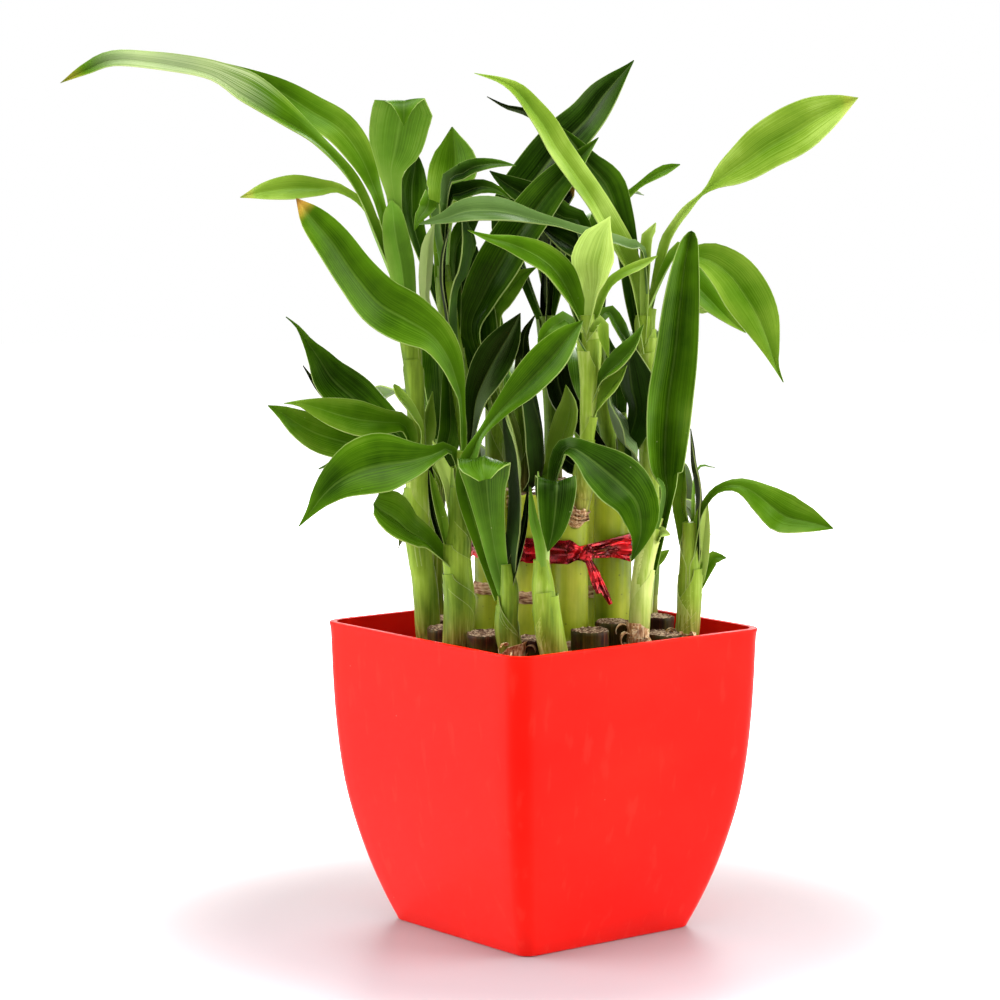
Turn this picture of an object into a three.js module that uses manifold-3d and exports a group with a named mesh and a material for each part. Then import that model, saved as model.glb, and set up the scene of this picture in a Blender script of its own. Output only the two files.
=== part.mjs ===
import * as THREE from 'three';
import Module from 'manifold-3d';

// Millimetres, Z up, origin at the centre of the pot's underside, pot sides along X and Y
const wasm = await Module();
wasm.setup();

// Pot
const RIM_SIDE = 106;
const POT_HEIGHT = 102;
const POT_WALL = 1.6;
const POT_FLOOR = 3.1;
const RIM_CORNER_RADIUS = 7;
const FOOT_CORNER_RADIUS = 6;
const FOOT_EDGE_ROUND = 1.2;
const CORNER_STEPS = 3;
// Share of the rim's half side that the outer wall has at each share of the height
const WALL_CURVE = [
  [0.03, 0.7], [0.16, 0.79], [0.3, 0.866], [0.43, 0.92],
  [0.55, 0.951], [0.7, 0.974], [0.84, 0.986], [0.95, 0.992],
];
const LIP_START = 0.972;
// Heights between which the inside of the wall is straight
const INSIDE_LEVELS = [POT_FLOOR, 17, 44, 72];

// Filling of small pebbles, with a plain hole for each cane
const FILL_TOP = 72;
const FILL_GAP = 0.3;
const FILL_BUMP = 1.5;
const FILL_CELLS = 10;

// Canes
const CANE_SIDES = 8;
const CANE_GAP = 0.3;
const HOLE_RUN = 20;
const INNER_FOOT = 14;
const OUTER_FOOT = 26;

// Leaves and shoots
const BLADE_THICKNESS = 0.9;
// Stations along a blade: more for a wider leaf
const LARGE_STATIONS = [0, 0.13, 0.3, 0.48, 0.66, 0.84, 1];
const MIDDLE_STATIONS = [0, 0.2, 0.42, 0.64, 0.84, 1];
const SMALL_STATIONS = [0, 0.28, 0.56, 0.82, 1];
const LARGE_WIDTH = 14.5;
const SMALL_WIDTH = 7.5;
const TIP_WIDTH = 0.7;
// Degrees by which a leaf folds up more at its foot
const FOOT_FOLD = 32;
// Share of its width that a leaf by rule has at even steps from foot to tip
const ARCH_WIDTHS = [0.25, 0.85, 1, 0.7, 0];
const SHOOT_SIDES = 6;

// Foil ribbon round the inner canes
const BAND_LOW = 125.6;
const BAND_HIGH = 134.4;
const FOIL_THICKNESS = 0.8;
const FOIL_GAP = 0.35;
const BAND_STATIONS = 32;

// The plant is written with X to the right and Y away from the front corner, then turned onto the pot
const PLANT_TURN = THREE.MathUtils.degToRad(51.6);

function turned(point) {
  const c = Math.cos(PLANT_TURN);
  const s = Math.sin(PLANT_TURN);
  return [point[0] * c - point[1] * s, point[0] * s + point[1] * c, point[2]];
}

function vector(point) {
  return new THREE.Vector3(point[0], point[1], point[2]);
}

function solid(points, triangles) {
  const vertProperties = new Float32Array(points.flat());
  const triVerts = new Uint32Array(triangles.flat());
  const mesh = new wasm.Mesh({ numProp: 3, vertProperties, triVerts });
  mesh.merge();
  return new wasm.Manifold(mesh);
}

// A closed skin through rings of equally many points, closed by a fan at both ends
function loft(rings) {
  const n = rings[0].length;
  const points = rings.flat();
  const triangles = [];
  for (let r = 0; r + 1 < rings.length; r += 1) {
    for (let i = 0; i < n; i += 1) {
      const a = r * n + i;
      const b = r * n + (i + 1) % n;
      triangles.push([a, b, b + n], [a, b + n, a + n]);
    }
  }
  const last = (rings.length - 1) * n;
  for (let i = 1; i + 1 < n; i += 1) {
    triangles.push([0, i + 1, i], [last, last + i, last + i + 1]);
  }
  return solid(points, triangles);
}

function union(parts) {
  return parts.reduce((whole, part) => whole.add(part));
}

// The body of a cut solid, without the scraps that a cut leaves
function largest(shape) {
  return shape.decompose().reduce((big, piece) => (piece.volume() > big.volume() ? piece : big));
}

function meshOf(shape, name, material) {
  const data = shape.getMesh();
  const geometry = new THREE.BufferGeometry();
  geometry.setAttribute('position', new THREE.BufferAttribute(new Float32Array(data.vertProperties), 3));
  geometry.setIndex(new THREE.BufferAttribute(new Uint32Array(data.triVerts), 1));
  const mesh = new THREE.Mesh(geometry, material);
  mesh.name = name;
  return mesh;
}

// Materials
function redPlastic() {
  return new THREE.MeshStandardMaterial({ name: 'red_plastic', color: 0xf22a1a, roughness: 0.35 });
}

function greyPebbles() {
  return new THREE.MeshStandardMaterial({ name: 'pebbles', color: 0x9a9184, roughness: 0.9 });
}

function innerCaneSkin() {
  return new THREE.MeshStandardMaterial({ name: 'inner_cane', color: 0x93a83c, roughness: 0.5 });
}

function outerCaneSkin() {
  return new THREE.MeshStandardMaterial({ name: 'outer_cane', color: 0x6f6a2c, roughness: 0.6 });
}

function redFoil() {
  const look = { name: 'red_foil', color: 0xb00f1c, roughness: 0.3, metalness: 0.6 };
  return new THREE.MeshStandardMaterial(look);
}

function leafGreen() {
  return new THREE.MeshStandardMaterial({ name: 'leaf_green', color: 0x3d7a1c, roughness: 0.45 });
}

// One level of the pot: a square with rounded corners
function roundedSquare(half, radius, z) {
  const ring = [];
  for (let corner = 0; corner < 4; corner += 1) {
    const start = corner * Math.PI / 2;
    const cx = (half - radius) * (corner === 0 || corner === 3 ? 1 : -1);
    const cy = (half - radius) * (corner < 2 ? 1 : -1);
    for (let i = 0; i <= CORNER_STEPS; i += 1) {
      const a = start + i / CORNER_STEPS * Math.PI / 2;
      ring.push([cx + radius * Math.cos(a), cy + radius * Math.sin(a), z]);
    }
  }
  return ring;
}

function cornerRadiusAt(share) {
  return FOOT_CORNER_RADIUS + (RIM_CORNER_RADIUS - FOOT_CORNER_RADIUS) * share;
}

// Outer half side of the pot at a height, straight between the measured levels
function wallHalfAt(z) {
  const share = z / POT_HEIGHT;
  const curve = [[0, 0.685], ...WALL_CURVE, [1, 0.996]];
  for (let i = 0; i + 1 < curve.length; i += 1) {
    const [low, lowWidth] = curve[i];
    const [high, highWidth] = curve[i + 1];
    if (share <= high) {
      return RIM_SIDE / 2 * (lowWidth + (highWidth - lowWidth) * (share - low) / (high - low));
    }
  }
  return RIM_SIDE / 2;
}

function pot() {
  const half = RIM_SIDE / 2;
  const rings = [];
  const footHalf = half * 0.685;
  rings.push(roundedSquare(footHalf - FOOT_EDGE_ROUND, FOOT_CORNER_RADIUS - FOOT_EDGE_ROUND, 0));
  rings.push(roundedSquare(footHalf - 0.2, FOOT_CORNER_RADIUS, FOOT_EDGE_ROUND));
  for (const [share, width] of WALL_CURVE) {
    rings.push(roundedSquare(half * width, cornerRadiusAt(share), POT_HEIGHT * share));
  }
  // The lip stands out a little and its top edge is rounded
  rings.push(roundedSquare(half * 0.994, RIM_CORNER_RADIUS, POT_HEIGHT * LIP_START));
  rings.push(roundedSquare(half, RIM_CORNER_RADIUS, POT_HEIGHT * 0.98));
  rings.push(roundedSquare(half, RIM_CORNER_RADIUS, POT_HEIGHT - 0.4));
  rings.push(roundedSquare(half - 0.4, RIM_CORNER_RADIUS - 0.4, POT_HEIGHT));
  rings.push(roundedSquare(half - POT_WALL - 0.2, RIM_CORNER_RADIUS - POT_WALL, POT_HEIGHT));
  rings.push(roundedSquare(half - POT_WALL - 0.4, RIM_CORNER_RADIUS - POT_WALL, POT_HEIGHT - 0.5));
  for (const z of [90, ...INSIDE_LEVELS].sort((a, b) => b - a)) {
    rings.push(roundedSquare(wallHalfAt(z) - POT_WALL, cornerRadiusAt(z / POT_HEIGHT) - POT_WALL, z));
  }
  return loft(rings);
}

// Height of the pebbles' top: rows of rounded stones, set off from row to row
function pebbleTop(x, y) {
  const row = Math.sin(x * 0.62 + Math.sin(y * 0.31) * 1.3);
  const column = Math.sin(y * 0.57 + Math.sin(x * 0.27) * 1.7);
  return FILL_TOP + FILL_BUMP * row * column;
}

function pebbleFill(holes) {
  const levels = [POT_FLOOR + FILL_GAP, ...INSIDE_LEVELS.slice(1)];
  const rings = levels.map((z) => {
    const half = wallHalfAt(z) - POT_WALL - FILL_GAP;
    return roundedSquare(half, cornerRadiusAt(z / POT_HEIGHT) - POT_WALL - FILL_GAP, z);
  });
  const block = loft([...rings, roundedSquare(wallHalfAt(80) - POT_WALL - FILL_GAP - 0.4, 6, 80)]);
  // The bumpy top is the underside of a lid that is cut away
  const reach = RIM_SIDE / 2;
  const step = 2 * reach / FILL_CELLS;
  const n = FILL_CELLS + 1;
  const points = [];
  const triangles = [];
  for (let j = 0; j < n; j += 1) {
    for (let i = 0; i < n; i += 1) {
      const x = -reach + i * step;
      const y = -reach + j * step;
      points.push([x, y, pebbleTop(x, y)]);
    }
  }
  const count = points.length;
  for (let j = 0; j < n; j += 1) {
    for (let i = 0; i < n; i += 1) {
      points.push([-reach + i * step, -reach + j * step, POT_HEIGHT]);
    }
  }
  for (let j = 0; j + 1 < n; j += 1) {
    for (let i = 0; i + 1 < n; i += 1) {
      const a = j * n + i;
      triangles.push([a, a + n + 1, a + 1], [a, a + n, a + n + 1]);
      const up = count + a;
      triangles.push([up, up + 1, up + n + 1], [up, up + n + 1, up + n]);
    }
  }
  const last = FILL_CELLS * n;
  for (let i = 0; i + 1 < n; i += 1) {
    const right = i * n + FILL_CELLS;
    triangles.push([i, i + 1, count + i + 1], [i, count + i + 1, count + i]);
    const back = last + i;
    triangles.push([back, count + back + 1, back + 1], [back, count + back, count + back + 1]);
    triangles.push([i * n, count + i * n, count + i * n + n], [i * n, count + i * n + n, i * n + n]);
    triangles.push([right, right + n, count + right + n], [right, count + right + n, count + right]);
  }
  const lid = solid(points, triangles);
  return holes.reduce((fill, hole) => fill.subtract(hole), block.subtract(lid));
}

// Ring of points round an axis, square to it
function ringAt(centre, along, radius, sides) {
  const t = along.clone().normalize();
  const a = new THREE.Vector3(1, 0, 0).addScaledVector(t, -t.x).normalize();
  const b = new THREE.Vector3().crossVectors(t, a);
  const ring = [];
  for (let i = 0; i < sides; i += 1) {
    const angle = i / sides * 2 * Math.PI;
    const p = centre.clone().addScaledVector(a, radius * Math.cos(angle));
    p.addScaledVector(b, radius * Math.sin(angle));
    ring.push(turned([p.x, p.y, p.z]));
  }
  return ring;
}

// Canes: name, top centre, radius, foot centre and height of the ring scar, if it has one
const INNER_CANES = [
  ['cane_a', [-17.4, -3, 147], 5.4, [-17.4, -3], 115],
  ['cane_b', [-4, -18, 148], 5.4, [-4, -18], 114],
  ['cane_c', [8.7, -20, 150], 6.2, [8.7, -20], 98],
  ['cane_d', [23.5, -6, 149], 6.2, [23, -6], 90],
  ['cane_e', [20, 10, 147], 6, [19.5, 9.5], 112],
  ['cane_f', [5, 18, 149], 6, [5, 17], 107],
  ['cane_g', [-11, 13, 146], 6, [-11, 12.5], 117],
];
const OUTER_CANES = [
  ['short_cane_1', [15, -33.5, 105], 6.2, [15, -32], 0],
  ['short_cane_2', [23.5, -21.5, 106], 6.2, [22, -19], 0],
  ['short_cane_3', [-19, -33, 104], 6.2, [-17, -28.5], 0],
  ['short_cane_4', [-4, -38, 103], 6, [-4, -33.5], 0],
  ['short_cane_5', [-32, -20, 104], 6.2, [-28.5, -17.5], 0],
  ['short_cane_6', [39.6, -20, 102], 6.2, [35.5, -17.5], 0],
  ['short_cane_7', [38, -2, 105], 6.2, [35.5, -2], 0],
  ['short_cane_8', [-36, -3, 104], 6.2, [-32.5, -3], 0],
  ['short_cane_9', [-30, 15, 103], 6.2, [-27, 14], 0],
  ['short_cane_10', [-13, 31, 105], 6.2, [-12, 27.5], 0],
  ['short_cane_11', [10, 35, 104], 6.2, [9.5, 31.5], 0],
  ['short_cane_12', [30, 23, 104], 6.2, [27, 21], 0],
];

// A cut cane: straight, with a raised ring scar and a worn edge at its cut top
function cane(top, radius, foot, footHeight, scar, grow = 0, run = HOLE_RUN) {
  const low = new THREE.Vector3(foot[0], foot[1], footHeight);
  const along = vector(top).sub(low);
  const at = (z) => low.clone().addScaledVector(along, (z - low.z) / along.z);
  if (grow > 0) {
    const ends = [at(footHeight - grow), at(top[2] + run)];
    return loft(ends.map((end) => ringAt(end, along, radius + grow, CANE_SIDES)));
  }
  const ring = scar > 0 ? [[scar - 2, 0.99], [scar, 1.05], [scar + 1.6, 0.98]] : [];
  const levels = [[footHeight, 1], ...ring, [top[2] - 0.8, 1], [top[2], 0.9]];
  return loft(levels.map(([z, width]) => ringAt(at(z), along, radius * width, CANE_SIDES)));
}

function caneOf(entry, footHeight, grow = 0, run = HOLE_RUN) {
  const [, top, radius, foot, scar] = entry;
  return cane(top, radius, foot, footHeight, scar, grow, run);
}

// Smooth line through the given points
function curveOf(points) {
  return new THREE.CatmullRomCurve3(points.map(vector), false, 'catmullrom', 0.5);
}

// Round green stem through the given points, with a radius at each
function stem(points, radii) {
  const curve = curveOf(points);
  const rings = [];
  const steps = points.length - 1;
  for (let i = 0; i <= steps; i += 1) {
    rings.push(ringAt(curve.getPoint(i / steps), curve.getTangent(i / steps), radii[i], SHOOT_SIDES));
  }
  return loft(rings);
}

// Stations that a leaf of this width gets
function stationsFor(width) {
  if (width > LARGE_WIDTH) {
    return LARGE_STATIONS;
  }
  return width > SMALL_WIDTH ? MIDDLE_STATIONS : SMALL_STATIONS;
}

// A leaf along a spine with a width at each point, rolled about it from foot to tip and folded at its midrib
function leaf(spine, roll = [0, 0], fold = 16) {
  const curve = curveOf(spine);
  const widths = curveOf(spine.map((point) => [point[3], 0, 0]));
  const first = vector(spine[0]);
  const last = vector(spine[spine.length - 1]);
  const heading = last.sub(first).setZ(0).normalize();
  const across = new THREE.Vector3(-heading.y, heading.x, 0);
  const upper = [];
  const lower = [];
  const stations = stationsFor(Math.max(...spine.map((point) => point[3])));
  for (const u of stations) {
    const p = curve.getPointAt(u);
    const t = curve.getTangentAt(u);
    const side = across.clone().addScaledVector(t, -across.dot(t)).normalize();
    const face = new THREE.Vector3().crossVectors(t, side);
    const turn = THREE.MathUtils.degToRad(roll[0] + (roll[1] - roll[0]) * u);
    const s = side.clone().multiplyScalar(Math.cos(turn)).addScaledVector(face, Math.sin(turn));
    const n = face.clone().multiplyScalar(Math.cos(turn)).addScaledVector(side, -Math.sin(turn));
    const lift = THREE.MathUtils.degToRad(fold + FOOT_FOLD * (1 - u) ** 3);
    const half = Math.max(widths.getPoint(curve.getUtoTmapping(u)).x, TIP_WIDTH) / 2;
    for (const edge of [-1, 0, 1]) {
      const top = p.clone().addScaledVector(s, edge * half * Math.cos(lift));
      top.addScaledVector(n, Math.abs(edge) * half * Math.sin(lift));
      const under = top.clone().addScaledVector(n, -BLADE_THICKNESS);
      upper.push(turned([top.x, top.y, top.z]));
      lower.push(turned([under.x, under.y, under.z]));
    }
  }
  return blade(upper, lower, stations.length);
}

// Closed blade between two alike sheets of three points a station
function blade(upper, lower, stations) {
  const points = [...upper, ...lower];
  const under = upper.length;
  const triangles = [];
  for (let i = 0; i + 1 < stations; i += 1) {
    for (const c of [0, 1]) {
      const a = i * 3 + c;
      triangles.push([a, a + 3, a + 4], [a, a + 4, a + 1]);
      triangles.push([under + a, under + a + 4, under + a + 3], [under + a, under + a + 1, under + a + 4]);
    }
    const left = i * 3;
    const right = i * 3 + 2;
    triangles.push([left, under + left, under + left + 3], [left, under + left + 3, left + 3]);
    triangles.push([right, right + 3, under + right + 3], [right, under + right + 3, under + right]);
  }
  const end = (stations - 1) * 3;
  for (const c of [0, 1]) {
    triangles.push([c, c + 1, under + c + 1], [c, under + c + 1, under + c]);
    const tip = end + c;
    triangles.push([tip, under + tip + 1, tip + 1], [tip, under + tip, under + tip + 1]);
  }
  return solid(points, triangles);
}

// A leaf by rule: from a point, in a direction, rising and then drooping along its reach
function arch(from, azimuth, reach, rise, droop, width, roll = [0, 0]) {
  const a = THREE.MathUtils.degToRad(azimuth);
  const spine = ARCH_WIDTHS.map((share, i) => {
    const t = i / (ARCH_WIDTHS.length - 1);
    const out = reach * (0.35 * t + 0.65 * t * t);
    const up = rise * t * (2 - t) - droop * t ** 3;
    const wide = Math.max(width * share, TIP_WIDTH);
    return [from[0] + out * Math.cos(a), from[1] + out * Math.sin(a), from[2] + up, wide];
  });
  return leaf(spine, roll);
}

const shoots = {
  // Tall shoot at the left, with the long arching leaf
  shoot_tall_left: () => [
    stem([[-37, -5, 92], [-38, -8, 99], [-39, -9, 115], [-41.5, -9, 135], [-41.5, -8, 155],
      [-42, -7, 178], [-43.5, -7, 198], [-45, -8, 222]],
      [2.6, 4.2, 4.2, 3.8, 3.2, 2.8, 3, 2.4]),
    leaf([[-45, -9, 206, 4], [-54.5, -10, 230, 6], [-62.5, -12, 249.5, 6], [-73.5, -15, 262.5, 7],
      [-86.5, -18, 271, 14.5], [-97.5, -19.5, 277.5, 17], [-107.5, -23, 284, 9.5], [-122, -26.5, 287.5, 8],
      [-137.5, -29, 289, 7.5], [-147, -29, 285.5, 5.5], [-155, -30, 281.5, 0.7]], [-40, -50], 26),
    leaf([[-45, -6, 208, 4], [-53, -3.5, 239.5, 3.5], [-56.5, 1, 249.5, 5.5], [-61, 3.5, 259, 10],
      [-67.5, 5.5, 267, 12], [-76.5, 7.5, 272.5, 11.5], [-86, 8, 278.5, 9], [-96, 7.5, 284, 4.5],
      [-106, 7, 288.5, 0.7]], [-60, -70], 14),
    leaf([[-45, -9, 212, 4], [-48, -14.5, 235.5, 5], [-48.5, -16.5, 244.5, 5], [-49.5, -18.5, 253, 8.5],
      [-48, -20, 260.5, 17], [-46.5, -22, 269, 19.5], [-45, -23, 274.5, 19], [-45, -24, 276, 12],
      [-45, -27.5, 273.5, 6.5], [-45, -29.5, 268, 0.7]], [0, 0], 6),
    leaf([[-43, -9, 190, 5], [-46, -14.5, 220, 9.5], [-47.5, -16, 228.5, 10], [-48.5, -18, 235.5, 8.5],
      [-49, -18.5, 241, 6], [-49.5, -17.5, 244, 0.7]], [40, 40], 26),
    leaf([[-45, -4, 212, 4], [-56.5, 4.5, 238, 3], [-66.5, 8.5, 246.5, 3], [-74.5, 11, 247, 6.5],
      [-83.5, 13, 247, 9.5], [-92.5, 14, 246, 7], [-101, 14, 244, 0.7]], [-60, -65], 14),
    leaf([[-42, -6, 160, 4], [-52, 0, 169.5, 10.5], [-62, 4.5, 176.5, 15.5], [-70, 6, 183.5, 14],
      [-74.5, 6, 190.5, 8.5], [-78, 6.5, 195.5, 4], [-81.5, 6, 201, 1.5],
      [-85.5, 6, 204.5, 0.7]], [-50, -70], 14),
    leaf([[-42, -6.5, 160, 4], [-54, 2.5, 164, 4.5], [-66, 10.5, 172, 3], [-74, 14.5, 178.5, 2.5],
      [-80.5, 16, 187.5, 0.7]], [-30, -60], 16),
    leaf([[-42, -10, 154, 4], [-45, -12, 169, 6], [-52, -15, 171, 9], [-59.5, -17.5, 172, 13],
      [-67, -20, 174, 11], [-74, -22, 176.5, 6.5], [-79.5, -22.5, 178, 2.5],
      [-84.5, -23, 178, 0.7]], [-60, -75], 12),
    leaf([[-42, -9, 148, 3], [-48.5, -10.5, 161, 8.5], [-57.5, -12.5, 162.5, 12],
      [-65.5, -13.5, 164.5, 13.5], [-73.5, -15, 167, 13], [-80, -17, 170.5, 10], [-85.5, -18.5, 174.5, 5],
      [-90, -19.5, 177, 0.7]], [-60, -75], 12),
    leaf([[-41, -6, 140, 4], [-40.5, -1, 159, 6], [-38.5, 1, 168, 6.5],
      [-36.5, 1, 180, 0.7]], [65, 65], 16),
    leaf([[-42, -10, 156, 3], [-40, -13, 167.5, 4], [-43, -14.5, 173.5, 6.5], [-46, -16, 178.5, 7],
      [-48.5, -17, 182, 6], [-49, -17.5, 183.5, 2.5]], [-60, -60], 16),
  ],
  // Front left shoot, with the two broad leaves that lie over to the left
  shoot_front_left: () => [
    stem([[-31, -22, 92], [-28.5, -26, 98], [-27, -27, 114], [-28, -27, 127], [-27, -27, 140],
      [-26, -28, 163]],
      [2.6, 4.6, 4.6, 4.2, 3.4, 2.6]),
    leaf([[-26, -28, 154, 3.5], [-26.5, -28.5, 177, 2.5], [-28, -29, 185, 5.5], [-31, -29.5, 193.5, 9.5],
      [-36, -30, 200.5, 13], [-44, -31, 205.5, 17.5], [-53, -32.5, 211, 17.5], [-60.5, -35, 220, 15],
      [-68, -37, 231, 13], [-74.5, -38.5, 239, 9], [-79, -40, 245, 0.7]], [-70, -80], 12),
    leaf([[-26, -28, 148, 3], [-30, -30.5, 163, 4.5], [-36, -33, 162, 7], [-43, -36, 160.5, 14.5],
      [-51.5, -39, 159.5, 21], [-59, -42, 158, 19.5], [-66, -44, 154.5, 13.5], [-71, -45.5, 150, 8],
      [-74.5, -47, 145.5, 3.5], [-78.5, -48, 140.5, 0.7]], [-50, -65], 12),
    leaf([[-28, -28, 122, 3], [-38, -31, 133.5, 9], [-43.5, -35, 137.5, 14], [-48, -38.5, 142, 17.5],
      [-52, -42, 145, 14.5], [-54.5, -44.5, 147.5, 9]], [-50, -65], 16),
    leaf([[-26.5, -27, 150, 3], [-23.5, -24, 166.5, 3], [-22, -22.5, 178.5, 8], [-19, -22, 186, 12],
      [-15, -22, 193.5, 13], [-11, -23, 200.5, 9], [-7.5, -24, 207.5, 0.7]], [60, 70], 16),
    leaf([[-28, -27, 118, 3], [-35, -26.5, 139.5, 2.5], [-36, -25.5, 145, 2.5], [-36.5, -24.5, 152.5, 2.5],
      [-37, -24, 160, 0.7]], [-70, -70], 16),
    leaf([[-29.5, -25.5, 143.5, 6], [-30.5, -26, 151.5, 5], [-33.5, -25.5, 159, 4],
      [-36, -25, 166, 0.7]], [-70, -70], 16),
    leaf([[-31.5, -28, 131.5, 2.5], [-33, -29, 140.5, 4], [-35, -28.5, 148.5, 3],
      [-37, -28, 156.5, 0.7]], [-70, -70], 20),
  ],
  // Front shoot with the scooped leaf, and the long leaf that crosses the middle
  shoot_front_middle: () => [
    stem([[-6, -42, 88], [-9, -43, 96], [-11.5, -43, 106], [-11, -43, 118], [-12, -43, 128]],
      [2.4, 3.4, 3.4, 3, 2]),
    leaf([[-11, -43, 112, 4], [-15, -43, 129, 7], [-17, -43.5, 141.5, 9.5], [-18, -45, 151.5, 13],
      [-18.5, -47.5, 159, 17], [-19, -53.5, 164, 17.5], [-19.5, -61.5, 162, 15],
      [-19, -65, 157.5, 4.5]], [0, 0], -12),
    leaf([[-14, -40, 116, 4], [-24.5, -36.5, 148, 6], [-24.5, -36.5, 158.5, 7], [-22.5, -37, 164, 6],
      [-20, -38, 169.5, 3.5], [-13.5, -39, 177.5, 6.5], [-5.5, -39, 185.5, 11.5], [2.5, -39, 194, 13],
      [8, -39.5, 201, 8.5], [12.5, -40, 206, 0.7]], [60, 70], 22),
    leaf([[-11, -42, 112, 4], [-12.5, -41.5, 130.5, 11.5], [-11.5, -41, 140.5, 15], [-11, -40.5, 149, 16.5],
      [-11.5, -39.5, 157.5, 15], [-12.5, -38.5, 167.5, 11], [-13.5, -37, 178.5, 0.7]], [75, 75], 16),
    leaf([[-11, -42, 110, 3], [-11.5, -43, 119.5, 5], [-8.5, -44.5, 131, 4], [-6, -43.5, 142, 2.5],
      [-5, -43, 153.5, 0.7]], [70, 70], 20),
  ],
  // Leaning front shoot, with the dark leaf that hangs in front of the ribbon
  shoot_front_right: () => [
    stem([[3, -42, 88], [4, -45, 95], [2, -46, 105], [0, -47, 118], [-1, -47, 130]],
      [2.4, 4.2, 4.2, 3.8, 2.6]),
    leaf([[-1, -47, 116, 4], [0.5, -46, 142.5, 4.5], [1.5, -46, 150.5, 8.5], [3, -48.5, 155, 12.5],
      [4, -49.5, 155.5, 12.5], [4, -52.5, 153.5, 13], [3.5, -55.5, 147.5, 11.5], [2.5, -58, 140, 7.5],
      [1, -60, 134, 0.7]], [0, 10], 14),
    leaf([[0, -48, 118, 3], [-1.5, -50.5, 135, 3.5], [-3.5, -50.5, 143.5, 3],
      [-4.5, -49, 153.5, 0.7]], [70, 70], 16),
    leaf([[-1, -46, 116, 4], [2.5, -41, 145, 7], [3.5, -40.5, 155, 10], [5.5, -41, 162, 11.5],
      [8, -43.5, 165.5, 7], [13, -47, 163.5, 9.5], [19, -50.5, 159, 16.5], [24.5, -53.5, 154.5, 18.5],
      [29, -57, 149.5, 15], [30.5, -58.5, 143.5, 11.5], [30, -59.5, 137.5, 5.5],
      [27.5, -60.5, 131, 0.7]], [30, 55], 10),
    leaf([[0, -47, 116, 3], [0.5, -49.5, 136.5, 3], [-1, -50.5, 147.5, 2.5],
      [-2, -50, 158.5, 0.7]], [50, 50], 16),
  ],
  // Shoot of the front cane, with the pale new leaf
  shoot_cane_c: () => [
    stem([[10, -24, 138], [11.5, -27, 145], [13, -25.5, 153], [14, -24, 166], [15, -24, 181],
      [15, -24, 195], [14, -24, 207]],
      [2.4, 3.6, 3.3, 2, 2.6, 3.2, 2.6]),
    leaf([[14, -25, 200, 3.5], [16, -26, 212.5, 8], [17, -26.5, 218.5, 15.5], [17, -27.5, 223.5, 20],
      [18, -28, 228, 20], [19, -29, 232, 16], [20, -29.5, 235, 8.5], [21.5, -30, 239, 0.7]], [70, 70], 12),
    leaf([[14, -25, 200, 3.5], [9.5, -25.5, 211.5, 8.5], [6, -27.5, 218, 12], [1.5, -28.5, 223.5, 11],
      [-4.5, -30, 227.5, 9.5], [-11.5, -31, 230.5, 6], [-17.5, -31.5, 232, 3],
      [-24.5, -32, 234.5, 0.7]], [-50, -65], 14),
    leaf([[15, -24, 200, 3], [20, -24.5, 215, 3.5], [25, -24.5, 220, 3.5], [31.5, -23.5, 223, 3.5],
      [37, -23, 226, 0.7]], [60, 60], 16),
    leaf([[14, -24, 172, 3], [17.5, -26, 182.5, 3.5], [19.5, -27.5, 187, 5.5], [22.5, -29, 190, 7.5],
      [26, -32, 193.5, 8.5], [29.5, -34, 198, 7], [32, -36, 204.5, 0.7]], [60, 65], 26),
    leaf([[13.5, -24, 164, 3], [16.5, -25, 174.5, 3], [19, -26.5, 179, 4.5], [22, -27, 183.5, 7],
      [25, -28.5, 187.5, 4], [27, -29.5, 191, 0.7]], [60, 60], 20),
    leaf([[14, -23, 198, 3], [20.5, -17.5, 207.5, 4.5], [24, -16.5, 203.5, 6.5], [26.5, -16.5, 199, 5.5],
      [29, -17, 195.5, 0.7]], [60, 60], 16),
    leaf([[14, -26, 198, 3], [18.5, -29.5, 205, 4], [19.5, -30.5, 200, 3.5],
      [21, -31, 193.5, 0.7]], [60, 60], 16),
    leaf([[14, -26, 194, 3], [8, -30.5, 205, 5.5], [4.5, -32.5, 204.5, 5.5], [1.5, -34.5, 202.5, 5.5],
      [-0.5, -35.5, 199.5, 3.5], [-2, -37, 195.5, 0.7]], [-50, -60], 16),
  ],
  // Tall shoot at the right, with the high leaf, the drooping one and the grey-green arch
  shoot_tall_right: () => [
    stem([[35, 2, 92], [33.5, 4.5, 98], [34, 4, 112], [35.5, 3, 130], [36, 3, 158], [36, 4, 185],
      [34, 4, 200], [35, 5, 212]],
      [2.6, 3.4, 3.4, 3.2, 3, 2.6, 2.8, 2.2]),
    leaf([[35, 5, 200, 3], [40.5, 5, 226.5, 4.5], [44, 4, 234.5, 4], [48, 3.5, 240, 4], [52.5, 2.5, 245, 2],
      [56, 1.5, 248, 4.5], [61, 1.5, 251.5, 11], [68, -0.5, 256, 16], [75, -2, 261, 18.5],
      [83, -4, 265.5, 19.5], [90, -5.5, 270, 16.5], [97, -7, 274, 9.5], [103, -9, 277, 0.7]], [55, 65], 14),
    leaf([[35, 3, 206, 3], [44, 0.5, 225.5, 6.5], [49, -1, 225, 7], [55.5, -3, 223.5, 12],
      [62, -6.5, 218.5, 16], [67, -9.5, 211.5, 17], [71, -13, 204.5, 14], [74, -16, 196.5, 7.5],
      [76, -17.5, 190, 2.5], [78.5, -19, 184.5, 0.7]], [45, 60], 16),
    leaf([[35, 5, 206, 3], [42, 5.5, 224.5, 2.5], [46, 6.5, 222.5, 4.5], [51, 9.5, 215.5, 13],
      [56.5, 9.5, 209.5, 11], [62.5, 8.5, 203.5, 5.5], [68, 8, 199, 0.7]], [50, 60], 16),
    leaf([[34, 2, 192, 3], [30.5, 2.5, 216.5, 7], [26.5, 1.5, 226, 9.5], [21.5, 0.5, 235, 10.5],
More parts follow.
